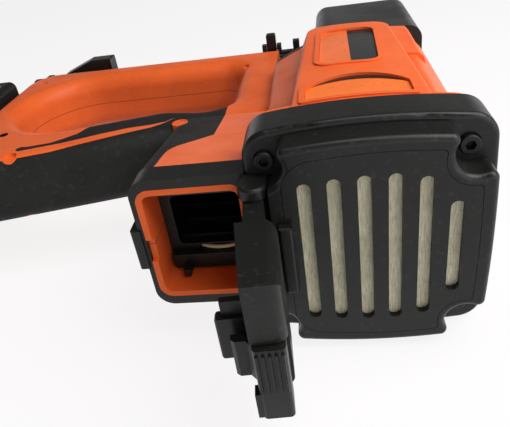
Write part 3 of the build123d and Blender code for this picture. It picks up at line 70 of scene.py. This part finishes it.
# Camera at the photograph's angle

LENS = 38.47
SENSOR = 36.0
CAMERA_PLACE = (-19.98, -189.91, 145.59)
CAMERA_RIGHT = (0.98796, 0.07862, -0.13321)
CAMERA_UP = (0.06916, 0.54584, 0.83503)
CAMERA_BACK = (0.13836, -0.83419, 0.53383)


def show(name, data):
    """A new object of the scene, at the origin."""
    item = bpy.data.objects.new(name, data)
    bpy.context.scene.collection.objects.link(item)
    return item


def aim_camera():
    data = bpy.data.cameras.new("camera")
    data.sensor_width = SENSOR
    data.lens = LENS
    data.clip_start = 10 * MM
    camera = show("camera", data)
    turn = Matrix((CAMERA_RIGHT, CAMERA_UP, CAMERA_BACK)).transposed().to_4x4()
    camera.matrix_world = Matrix.Translation(place(*CAMERA_PLACE)) @ turn
    bpy.context.scene.camera = camera


# Node helpers

def add(tree, kind, settings=None, **sockets):
    """A node of one kind, with its settings and the values of its named inputs."""
    item = tree.nodes.new("ShaderNode" + kind)
    for name, value in (settings or {}).items():
        setattr(item, name, value)
    for name, value in sockets.items():
        put(tree, item.inputs[name], value)
    return item


def put(tree, socket, value):
    """Links an output to an input, or sets the input's own value."""
    if isinstance(value, bpy.types.NodeSocket):
        tree.links.new(value, socket)
    else:
        socket.default_value = value


def maths(tree, operation, *values, clamp=False):
    """One sum on numbers or outputs, held between 0 and 1 where clamp is set."""
    item = add(tree, "Math", {"operation": operation, "use_clamp": clamp})
    for socket, value in zip(item.inputs, values):
        put(tree, socket, value)
    return item.outputs[0]


def plus(tree, first, second, clamp=False):
    return maths(tree, "ADD", first, second, clamp=clamp)


def minus(tree, first, second):
    return maths(tree, "SUBTRACT", first, second)


def times(tree, first, second):
    return maths(tree, "MULTIPLY", first, second)


def blend_colour(tree, share, first, second):
    """The first colour, with a share of the second over it."""
    item = add(tree, "Mix", {"data_type": "RGBA"})
    put(tree, item.inputs[0], share)
    put(tree, item.inputs[6], first)
    put(tree, item.inputs[7], second)
    return item.outputs[2]


def remap(tree, value, low, high, out_low=0.0, out_high=1.0):
    """A smooth step from one level to another as the value goes from low to high."""
    item = add(tree, "MapRange", {"interpolation_type": "SMOOTHSTEP"})
    for socket, number in zip(item.inputs, (value, low, high, out_low, out_high)):
        put(tree, socket, number)
    return item.outputs[0]


def coordinates(tree, stretch=(1.0, 1.0, 1.0)):
    """Object coordinates, which are metres in the shared frame, stretched for streaks."""
    where = add(tree, "TexCoord").outputs["Object"]
    return add(tree, "Mapping", Scale=stretch, Vector=where).outputs["Vector"]


def noise(tree, vector, scale, detail, rough=0.5):
    return add(tree, "TexNoise", Vector=vector, Scale=scale, Detail=detail, Roughness=rough).outputs["Fac"]


def start_group(name, inputs, outputs):
    """An empty shader group with named number or colour sockets."""
    tree = bpy.data.node_groups.new(name, "ShaderNodeTree")
    for title, kind, value in inputs:
        socket = tree.interface.new_socket(title, in_out="INPUT", socket_type="NodeSocket" + kind)
        socket.default_value = value
    for title, kind in outputs:
        tree.interface.new_socket(title, in_out="OUTPUT", socket_type="NodeSocket" + kind)
    return tree, tree.nodes.new("NodeGroupInput").outputs, tree.nodes.new("NodeGroupOutput").inputs


def use_group(tree, group, **values):
    """One of the shared effects, with this material's own values."""
    item = tree.nodes.new("ShaderNodeGroup")
    item.node_tree = group
    for name, value in values.items():
        put(tree, item.inputs[name], value)
    return item.outputs


# Shared effects

def make_grain():
    """Spark-eroded mould grain: two sizes of noise added as height, and the sparse crests as a fleck mask."""
    tree, given, out = start_group(
        "mould_grain",
        [("Fineness", "Float", 1500.0), ("Crest", "Float", 0.62)],
        [("Height", "Float"), ("Fleck", "Float")],
    )
    where = coordinates(tree)
    fine = noise(tree, where, given["Fineness"], 2.0)
    coarse = noise(tree, where, times(tree, given["Fineness"], 0.31), 3.0)
    put(tree, out["Height"], plus(tree, times(tree, fine, 0.6), times(tree, coarse, 0.4)))
    put(tree, out["Fleck"], remap(tree, fine, given["Crest"], plus(tree, given["Crest"], 0.10)))
    return tree


def make_drift():
    """Uneven tone: slow noise mixes a darker colour into the main one, as on handled plastic."""
    tree, given, out = start_group(
        "tone_drift",
        [
            ("Colour", "Color", (1, 1, 1, 1)), ("Dark", "Color", (0, 0, 0, 1)),
            ("Amount", "Float", 0.3), ("Size", "Float", 40.0),
        ],
        [("Colour", "Color"), ("Cloud", "Float")],
    )
    cloud = remap(tree, noise(tree, coordinates(tree), given["Size"], 5.0, 0.6), 0.35, 0.72)
    share = times(tree, cloud, given["Amount"])
    put(tree, out["Colour"], blend_colour(tree, share, given["Colour"], given["Dark"]))
    put(tree, out["Cloud"], cloud)
    return tree


def make_seam():
    """The joint between the two moulded halves: a narrow band about one level of z."""
    tree, given, out = start_group(
        "parting_seam", [("Level", "Float", 0.0), ("Half", "Float", 0.0003)], [("Mask", "Float")],
    )
    split = add(tree, "SeparateXYZ", Vector=coordinates(tree))
    away = maths(tree, "ABSOLUTE", minus(tree, split.outputs["Z"], given["Level"]))
    put(tree, out["Mask"], remap(tree, away, times(tree, given["Half"], 0.4), given["Half"], 1.0, 0.0))
    return tree


def make_scuffs():
    """Light scuffs: thin streaks of stretched noise that show only in scattered patches."""
    tree, given, out = start_group("light_scuffs", [("Patches", "Float", 0.58)], [("Mask", "Float")])
    streaks = noise(tree, coordinates(tree, (900.0, 140.0, 420.0)), 1.0, 3.0, 0.7)
    patches = noise(tree, coordinates(tree), 55.0, 3.0, 0.6)
    where = remap(tree, patches, given["Patches"], plus(tree, given["Patches"], 0.14))
    put(tree, out["Mask"], times(tree, where, remap(tree, streaks, 0.55, 0.75)))
    return tree


grain = make_grain()
drift = make_drift()
seam = make_seam()
scuffs = make_scuffs()


def start_material(name):
    """A new material, its nodes and its shader."""
    material = bpy.data.materials.new(name)
    material.use_nodes = True
    tree = material.node_tree
    return material, tree, tree.nodes["Principled BSDF"]


def raise_surface(tree, shader, height, depth):
    """Bump from a height, with the crests that many millimetres above the troughs."""
    bump = add(tree, "Bump", Strength=1.0, Distance=depth * MM, Height=height)
    put(tree, shader.inputs["Normal"], bump.outputs["Normal"])


def darker(colour, share):
    return tuple(share * channel for channel in colour)


def drifting(tree, colour, dark, amount, size):
    """A colour that drifts to a darker one, with the cloud that moves it."""
    return use_group(tree, drift, Colour=(*colour, 1), Dark=(*dark, 1), Amount=amount, Size=size)


def offset_coordinates(tree):
    """x and y in millimetres from the drive axis and the cap's rear face."""
    split = add(tree, "SeparateXYZ", Vector=coordinates(tree))
    x = times(tree, minus(tree, split.outputs["X"], home.x), 1 / MM)
    y = times(tree, minus(tree, split.outputs["Y"], home.y), 1 / MM)
    return x, y


# Moulded plastic and rubber

DEEP_HOLE = (-226.6, 120.2)
DEEP_HOLE_RADIUS = 2.8
# Painted shade colour for the unlit inside of the deep screw hole
HOLE_PAINTED_SHADE = (0.012, 0.009, 0.008, 1)
SEAM_HALF = 0.35
FLECK_LIFT = 0.012


def hole_shade(tree):
    """Painted shade: a mask for the unlit inside of the deep screw hole on the frame, by the distance from
    the hole's axis.
    """
    x, y = offset_coordinates(tree)
    across = minus(tree, x, DEEP_HOLE[0])
    along = minus(tree, y, DEEP_HOLE[1])
    away = maths(tree, "SQRT", plus(tree, times(tree, across, across), times(tree, along, along)))
    return remap(tree, away, DEEP_HOLE_RADIUS + 0.1, DEEP_HOLE_RADIUS + 0.25, 1.0, 0.0)


def moulded(name, colour, dark, roughness, fineness, depth, fleck, with_seam_and_hole_shade=False, scuffed=0.25, shine=0.3):
    """Moulded plastic or rubber: drifting colour, pale flecks on two grains, scuffs, and where asked a seam
    and painted shade in the deep screw hole.
    """
    material, tree, shader = start_material(name)
    tone = drifting(tree, colour, dark, 0.55, 34.0)
    skin = use_group(tree, grain, Fineness=fineness, Crest=0.60)
    speckle = use_group(tree, grain, Fineness=0.24 * fineness, Crest=0.60)
    worn = use_group(tree, scuffs)
    pale = (*(min(1.0, fleck * channel + FLECK_LIFT) for channel in colour), 1)
    base = tone["Colour"]
    for mask, share in ((skin["Fleck"], 0.35), (speckle["Fleck"], 0.45), (worn["Mask"], scuffed)):
        base = blend_colour(tree, times(tree, mask, share), base, pale)
    if with_seam_and_hole_shade:
        line = use_group(tree, seam, Level=home.z, Half=SEAM_HALF * MM)["Mask"]
        base = blend_colour(tree, times(tree, line, 0.75), base, (*darker(colour, 0.22), 1))
        # Painted shade: the inside of the deep screw hole is darkened in the colour
        base = blend_colour(tree, hole_shade(tree), base, HOLE_PAINTED_SHADE)
    put(tree, shader.inputs["Base Color"], base)
    change = plus(tree, times(tree, tone["Cloud"], 0.10), times(tree, skin["Height"], 0.12))
    put(tree, shader.inputs["Roughness"], plus(tree, change, roughness - 0.11))
    shader.inputs["Specular IOR Level"].default_value = shine
    raise_surface(tree, shader, skin["Height"], depth)
    return material


# Metal

def metal(name, colour, roughness, stretch, metallic=1.0):
    """Metal with fine lines: stretched noise moves the colour and the roughness, with a slow tarnish."""
    material, tree, shader = start_material(name)
    lines = noise(tree, coordinates(tree, stretch), 1.0, 3.0, 0.6)
    dark = darker(colour, 0.55)
    tone = drifting(tree, colour, dark, 0.5, 60.0)
    low = remap(tree, lines, 0.3, 0.7, 0.0, 0.25)
    put(tree, shader.inputs["Base Color"], blend_colour(tree, low, tone["Colour"], (*dark, 1)))
    shader.inputs["Metallic"].default_value = metallic
    put(tree, shader.inputs["Roughness"], plus(tree, roughness - 0.1, times(tree, lines, 0.22)))
    raise_surface(tree, shader, lines, 0.03)
    return material


# Filter cloth

FELT = (0.74, 0.70, 0.51)
FELT_STAIN = (0.46, 0.415, 0.28)
FIBRE_DARK = (0.35, 0.31, 0.20, 1)
FIBRE_PALE = (0.82, 0.78, 0.61, 1)


def felt(name):
    """Felted filter cloth: upright fibre streaks, a cross weave and darker stained patches."""
    material, tree, shader = start_material(name)
    fibres = noise(tree, coordinates(tree, (1500.0, 600.0, 160.0)), 1.0, 4.0, 0.65)
    cross = noise(tree, coordinates(tree, (260.0, 600.0, 1300.0)), 1.0, 3.0, 0.6)
    base = drifting(tree, FELT, FELT_STAIN, 0.6, 70.0)["Colour"]
    base = blend_colour(tree, remap(tree, fibres, 0.42, 0.66, 0.0, 0.6), base, FIBRE_DARK)
    base = blend_colour(tree, remap(tree, cross, 0.5, 0.75, 0.0, 0.35), base, FIBRE_PALE)
    put(tree, shader.inputs["Base Color"], base)
    shader.inputs["Roughness"].default_value = 0.95
    shader.inputs["Sheen Weight"].default_value = 0.25
    raise_surface(tree, shader, plus(tree, fibres, cross), 0.4)
    return material


# Label plates

PLATE_INK = (0.012, 0.011, 0.011, 1)
PLATE_DUST = (0.8, 0.75, 0.7, 1)
BADGE_MIDDLE = 93.0
BADGE_LEAN = 0.02
BADGE_SPLIT = (-4.6, -4.3)
CRESCENT_MIDDLE = -6.0
CRESCENT_BEND = 0.0095
CRESCENT_EDGE = (65.05, 65.35)


def printed_plate(name, colour, ink_mask):
    """A bare glossy label plate in two plain inks, split by a mask, with a little dust on it."""
    material, tree, shader = start_material(name)
    tone = drifting(tree, colour, darker(colour, 0.72), 0.4, 48.0)
    base = blend_colour(tree, ink_mask(tree), tone["Colour"], PLATE_INK)
    dust = use_group(tree, grain, Fineness=900.0, Crest=0.66)
    base = blend_colour(tree, times(tree, dust["Fleck"], 0.08), base, PLATE_DUST)
    put(tree, shader.inputs["Base Color"], base)
    put(tree, shader.inputs["Roughness"], plus(tree, 0.22, times(tree, dust["Height"], 0.14)))
    raise_surface(tree, shader, dust["Height"], 0.02)
    return material


def no_ink(tree):
    """The battery's plate is of one colour."""
    return 0.0


def badge_split(tree):
    """The badge's right part, past a line that leans a little from rear to front."""
    x, y = offset_coordinates(tree)
    lean = times(tree, minus(tree, y, BADGE_MIDDLE), BADGE_LEAN)
    return remap(tree, minus(tree, x, lean), *BADGE_SPLIT)


def band_crescent(tree):
    """A crescent along the band's arched front edge, widest in the middle."""
    x, y = offset_coordinates(tree)
    away = minus(tree, x, CRESCENT_MIDDLE)
    fall = times(tree, times(tree, away, away), CRESCENT_BEND)
    return remap(tree, plus(tree, y, fall), *CRESCENT_EDGE)


# Finishes of the record's material slots. Depths of grain are in millimetres

CHARCOAL = (0.0085, 0.0087, 0.0080)
CHARCOAL_DARK = (0.0058, 0.0058, 0.0054)

moulded_slots = {
    # The seam switch also turns on the painted shade in the deep screw hole
    "orange_shell": dict(
        colour=(0.80, 0.130, 0.026), dark=(0.66, 0.098, 0.018), roughness=0.42, fineness=1500.0, depth=0.03,
        fleck=1.05, with_seam_and_hole_shade=True, scuffed=0.12, shine=0.20,
    ),
    "grip_rubber": dict(
        colour=(0.0075, 0.0075, 0.0066), dark=(0.0045, 0.0045, 0.0040), roughness=0.68, fineness=1100.0,
        depth=0.16, fleck=2.2, scuffed=0.35,
    ),
    "black_shell": dict(
        colour=CHARCOAL, dark=CHARCOAL_DARK, roughness=0.38, fineness=1700.0, depth=0.06, fleck=2.0,
        scuffed=0.30, shine=0.28,
    ),
    "battery_case": dict(
        colour=CHARCOAL, dark=CHARCOAL_DARK, roughness=0.50, fineness=1700.0, depth=0.07, fleck=2.0,
        with_seam_and_hole_shade=True,
    ),
    "lead_wire": dict(
        colour=(0.78, 0.68, 0.46), dark=(0.55, 0.46, 0.28), roughness=0.45, fineness=1200.0, depth=0.02,
        fleck=1.0,
    ),
    "seal_rubber": dict(
        colour=(0.010, 0.010, 0.010), dark=(0.006, 0.006, 0.006), roughness=0.6, fineness=1300.0, depth=0.06,
        fleck=2.0,
    ),
    "board_green": dict(
        colour=(0.03, 0.16, 0.06), dark=(0.015, 0.09, 0.03), roughness=0.4, fineness=700.0, depth=0.05,
        fleck=1.4,
    ),
    "magazine_alloy": dict(
        colour=(0.012, 0.012, 0.0125), dark=(0.007, 0.007, 0.0075), roughness=0.46, fineness=1300.0,
        depth=0.04, fleck=2.0,
    ),
}
metal_slots = {
    "black_screw": dict(
        colour=(0.016, 0.016, 0.0165), roughness=0.38, stretch=(500.0, 120.0, 500.0), metallic=0.55,
    ),
    "steel_pin": dict(colour=(0.56, 0.56, 0.58), roughness=0.30, stretch=(900.0, 900.0, 90.0)),
    "spring_steel": dict(colour=(0.40, 0.40, 0.42), roughness=0.36, stretch=(700.0, 700.0, 700.0)),
    "cast_alloy": dict(colour=(0.60, 0.60, 0.62), roughness=0.52, stretch=(420.0, 420.0, 420.0)),
    "hard_steel": dict(colour=(0.44, 0.44, 0.46), roughness=0.36, stretch=(800.0, 70.0, 800.0)),
    "contact_brass": dict(colour=(0.74, 0.54, 0.22), roughness=0.32, stretch=(90.0, 800.0, 800.0)),
}
plate_slots = {
    "battery_plate": dict(colour=(0.42, 0.45, 0.38), ink_mask=no_ink),
    "side_plate": dict(colour=(0.86, 0.165, 0.034), ink_mask=badge_split),
    "band_plate": dict(colour=(0.92, 0.185, 0.030), ink_mask=band_crescent),
}
finishes = {"filter_felt": felt("filter_felt")}
for make, slots in ((moulded, moulded_slots), (metal, metal_slots), (printed_plate, plate_slots)):
    finishes.update({slot: make(slot, **values) for slot, values in slots.items()})


def dress_frame():
    """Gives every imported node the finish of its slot."""
    for entry in frame["record"]["subparts"]:
        mesh = nodes[entry["node"]].data
        mesh.materials.clear()
        mesh.materials.append(finishes[entry["material_slot"]])


# Pieces made of closed rings of points

def new_piece(name, points, faces, slot):
    """A smooth closed piece on the frame, with the finish of its slot."""
    mesh = bpy.data.meshes.new(name)
    mesh.from_pydata(points.tolist(), [], faces.tolist())
    mesh.polygons.foreach_set("use_smooth", np.full(len(mesh.polygons), True))
    mesh.update()
    mesh.materials.append(finishes[slot])
    close_rings(mesh)
    piece = show(name, mesh)
    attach(piece, "frame")
    return piece


def ring_faces(rings, around):
    """Quads between neighbouring closed rings of a grid, each ring having the same number of points."""
    row = np.arange(rings - 1)[:, None] * around
    step = np.arange(around)[None, :]
    after = (step + 1) % around
    return np.stack([row + step, row + after, row + around + after, row + around + step], -1).reshape(-1, 4)


def close_rings(mesh):
    """Fills the end rings and turns all faces outwards."""
    work = bmesh.new()
    work.from_mesh(mesh)
    bmesh.ops.holes_fill(work, edges=[edge for edge in work.edges if edge.is_boundary], sides=0)
    bmesh.ops.recalc_face_normals(work, faces=work.faces)
    work.to_mesh(mesh)
    work.free()


# Filter pad, worked out as a surface

PAD_AROUND = 360
PAD_FACE_RINGS = 70
PAD_RIM_RINGS = 5
PAD_FRONT_RINGS = 6
PAD_SQUARENESS = 9.0
PAD_BITE = 16.4
PAD_SPARE = 0.6
PAD_SETBACK = 0.3
PAD_THINNER = 0.4
PAD_SLACK = 0.22
CAP_SCREW = (36.6, 41.5)


def pad_reach(angle, half_x, half_z, centre):
    """How far the pad reaches from its middle at each angle.

    It is the nearer of a superellipse in x and z, and the first meeting with the two circles round the right
    cap screws, found where the ray at that angle enters each circle."""
    aim_x, aim_z = np.cos(angle), np.sin(angle)
    power = PAD_SQUARENESS
    reach = (np.abs(aim_x / half_x) ** power + np.abs(aim_z / half_z) ** power) ** (-1 / power)
    for side in (1, -1):
        screw = place(CAP_SCREW[0], 0, side * CAP_SCREW[1])
        away_x, away_z = screw.x - centre.x, screw.z - centre.z
        along = aim_x * away_x + aim_z * away_z
        inside = along ** 2 - away_x ** 2 - away_z ** 2 + (PAD_BITE * MM) ** 2
        entry = along - np.sqrt(np.maximum(inside, 0))
        reach = np.where((inside > 0) & (along > 0), np.minimum(reach, entry), reach)
    return reach


def pad_profile():
    """Each ring's share of the outline and of the depth: the rear face, the round rim and the front face."""
    rise = np.linspace(0, math.pi / 2, PAD_RIM_RINGS + 1)[1:]
    share = np.concatenate([
        np.linspace(0.004, 0.975, PAD_FACE_RINGS), 0.975 + 0.025 * np.sin(rise), 0.975 + 0.025 * np.cos(rise),
        np.linspace(0.9, 0.004, PAD_FRONT_RINGS),
    ])
    depth = np.concatenate([
        np.zeros(PAD_FACE_RINGS), 0.3 * (1 - np.cos(rise)), 0.7 + 0.3 * np.sin(rise),
        np.ones(PAD_FRONT_RINGS),
    ])
    return share[:, None], depth[:, None]


def make_filter_pad():
    """Filter pad: closed rings from the middle of the rear face, over the rim and back to the front's middle.

    Each ring is the pad's outline scaled about its middle. The rear face is lifted by two crossed waves,
    which stand for the cloth's slack and fade out at the rim."""
    low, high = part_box("air_filter")
    centre = (low + high) / 2
    angle = np.linspace(0, 2 * math.pi, PAD_AROUND, endpoint=False)
    spare = PAD_SPARE * MM
    reach = pad_reach(angle, (high.x - low.x) / 2 - spare, (high.z - low.z) / 2 - spare, centre)
    share, depth = pad_profile()
    x = centre.x + share * reach * np.cos(angle)
    z = centre.z + share * reach * np.sin(angle)
    wave = np.sin(x * 410 + 1.3 * np.sin(z * 95)) * np.sin(z * 260 + 0.7) * PAD_SLACK * MM
    slack = wave * (depth < 0.01) * (1 - share ** 4)
    y = low.y + PAD_SETBACK * MM + depth * (high.y - low.y - PAD_THINNER * MM) + slack
    points = np.stack([x, y, z], -1).reshape(-1, 3)
    piece = new_piece("filter_pad", points, ring_faces(len(share), PAD_AROUND), "filter_felt")
    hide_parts("air_filter")


# Springs, worked out as surfaces

TURN_STEPS = 28
WIRE_SIDES = 12
PROBE_WIRE = 1.4
PROBE_TURNS = 10
PROBE_COIL_ACROSS = 10.2
TRIGGER_WIRE = 0.6
TRIGGER_TURNS = 3
TRIGGER_COIL_ACROSS = 5.4
GRIP_TILT = 13.5


def wire_coil(across, wire, length, turns):
    """A round wire wound about y, as rings of points along it.

    At each share of the length, the wire's middle lies on a circle in x and z at 2 pi times the turns so far,
    and it climbs evenly in y. A ring is a circle of the wire's radius, between the outward direction and the
    direction square to it and to the helix's tangent."""
    share = np.linspace(0, 1, TURN_STEPS * turns + 1)[:, None, None]
    around = np.linspace(0, 2 * math.pi, WIRE_SIDES, endpoint=False)[None, :, None]
    angle = 2 * math.pi * turns * share
    level = np.zeros_like(angle)
    outward = np.concatenate([np.cos(angle), level, -np.sin(angle)], -1)
    onward = np.concatenate([-np.sin(angle), level, -np.cos(angle)], -1)
    upward = np.array([0.0, 1.0, 0.0])
    radius = (across - wire) / 2
    climb = (length - wire) / (2 * math.pi * turns)
    tangent = (radius * onward + climb * upward) / math.hypot(radius, climb)
    square = np.cross(tangent, outward)
    middle = radius * outward + (wire / 2 + climb * angle) * upward
    return middle + wire / 2 * (np.cos(around) * outward + np.sin(around) * square)


def coil_piece(name, node, coils):
    """One piece from the rings of one or two equal coils, in place of a packed spring."""
    points = np.concatenate([rings.reshape(-1, 3) for rings in coils])
    faces = ring_faces(len(coils[0]), WIRE_SIDES)
    count = len(points) // len(coils)
    faces = np.concatenate([faces + index * count for index in range(len(coils))])
    piece = new_piece(name, points, faces, "spring_steel")
    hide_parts(node)
    return piece


def make_probe_coils():
    """The two springs behind the contact probe, one on each side, which its travel shortens."""
    low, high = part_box("probe_springs")
    length = high.y - low.y
    coil = wire_coil(PROBE_COIL_ACROSS * MM, PROBE_WIRE * MM, length, PROBE_TURNS)
    middle = (low.x + high.x) / 2
    offset = PROBE_COIL_ACROSS * MM / 2
    coils = [coil + np.array([middle, low.y, z]) for z in (low.z + offset, high.z - offset)]
    piece = coil_piece("probe_coils", "probe_springs", coils)
    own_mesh(piece)


def make_trigger_coil():
    """The trigger's spring, square to the tilted grip. Its free end moves with the trigger about its pin."""
    low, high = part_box("trigger_spring")
    centre = (low + high) / 2
    tilt = math.radians(GRIP_TILT)
    axis = Vector((-math.sin(tilt), math.cos(tilt), 0))
    length = (high.y - low.y - TRIGGER_COIL_ACROSS * MM * math.sin(tilt)) / math.cos(tilt)
    coil = wire_coil(TRIGGER_COIL_ACROSS * MM, TRIGGER_WIRE * MM, length, TRIGGER_TURNS)
    turn = np.array(Matrix.Rotation(tilt, 3, "Z"))
    foot = centre - axis * length / 2
    piece = coil_piece("trigger_coil", "trigger_spring", [coil @ turn.T + np.array(foot)])
    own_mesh(piece)


# Floor, backdrop and light

PAPER_WHITE = (1.0, 0.985, 0.99, 1)
FLOOR_COLOUR = (0.86, 0.85, 0.855, 1)
FLOOR_WHITENESS = 0.86
FLOOR_HALF = 6.0
FLOOR_DROP = 0.5
SKY_COLOUR = (1.0, 0.99, 0.98, 1)
SKY_STRENGTH = 0.08
# Heights on the unit sphere between which the white backdrop fades out, as mirrors see it
BACKDROP_FULL = 0.12
BACKDROP_END = 0.26


def mix_shaders(tree, share, first, second, output):
    """Sends the first shader, with a share of the second, to the output node."""
    mixed = add(tree, "MixShader")
    for socket, value in zip(mixed.inputs, (share, first, second)):
        put(tree, socket, value)
    put(tree, add(tree, output).inputs["Surface"], mixed.outputs[0])


def make_floor():
    """A pale floor that looks nearly white and keeps the shadow."""
    material, tree, _ = start_material("pale_floor")
    tree.nodes.clear()
    plain = add(tree, "BsdfDiffuse", Color=FLOOR_COLOUR).outputs[0]
    white = add(tree, "Emission", Color=PAPER_WHITE, Strength=1.0).outputs[0]
    ray = add(tree, "LightPath").outputs
    mirrored = plus(tree, ray["Is Glossy Ray"], ray["Is Transmission Ray"])
    seen = plus(tree, ray["Is Camera Ray"], mirrored, clamp=True)
    mix_shaders(tree, times(tree, seen, FLOOR_WHITENESS), plain, white, "OutputMaterial")
    half, level = FLOOR_HALF, -FLOOR_DROP * MM
    mesh = bpy.data.meshes.new("floor")
    corners = [(-half, -half, level), (half, -half, level), (half, half, level), (-half, half, level)]
    mesh.from_pydata(corners, [], [(0, 1, 2, 3)])
    mesh.materials.append(material)
    show("floor", mesh)


def make_world():
    """Weak light from all round, and a white backdrop for the camera and, low down, for mirrors."""
    world = bpy.data.worlds.new("studio")
    bpy.context.scene.world = world
    world.use_nodes = True
    tree = world.node_tree
    tree.nodes.clear()
    ray = add(tree, "LightPath").outputs
    split = add(tree, "SeparateXYZ", Vector=add(tree, "TexCoord").outputs["Generated"])
    near_floor = remap(tree, split.outputs["Z"], BACKDROP_FULL, BACKDROP_END, 1.0, 0.0)
    mirrored = plus(tree, ray["Is Glossy Ray"], ray["Is Transmission Ray"], clamp=True)
    seen = plus(tree, ray["Is Camera Ray"], times(tree, mirrored, near_floor), clamp=True)
    soft = add(tree, "Background", Color=SKY_COLOUR, Strength=SKY_STRENGTH).outputs[0]
    white = add(tree, "Background", Color=PAPER_WHITE, Strength=1.0).outputs[0]
    mix_shaders(tree, seen, soft, white, "OutputWorld")


def make_lamp(name, where, target, size, watts):
    """A round soft lamp that faces a point."""
    data = bpy.data.lights.new(name, "AREA")
    data.shape = "DISK"
    data.size = size
    data.energy = watts
    lamp = show(name, data)
    lamp.location = where
    lamp.rotation_euler = (target - where).to_track_quat("-Z", "Y").to_euler()


def light_stage():
    target = place(-40, 60, 0)
    make_lamp("key", place(480, -60, 760), target, size=0.8, watts=8.8)
    make_lamp("top", place(-20, 60, 900), target, size=0.3, watts=1.3)
    make_lamp("side", place(700, -300, 300), target, size=0.9, watts=3.4)
    make_lamp("front", place(200, -800, 300), target, size=0.9, watts=1.9)


aim_camera()
dress_frame()
make_filter_pad()
make_probe_coils()
make_trigger_coil()
make_floor()
make_world()
light_stage()
bpy.context.scene.view_settings.view_transform = "Standard"
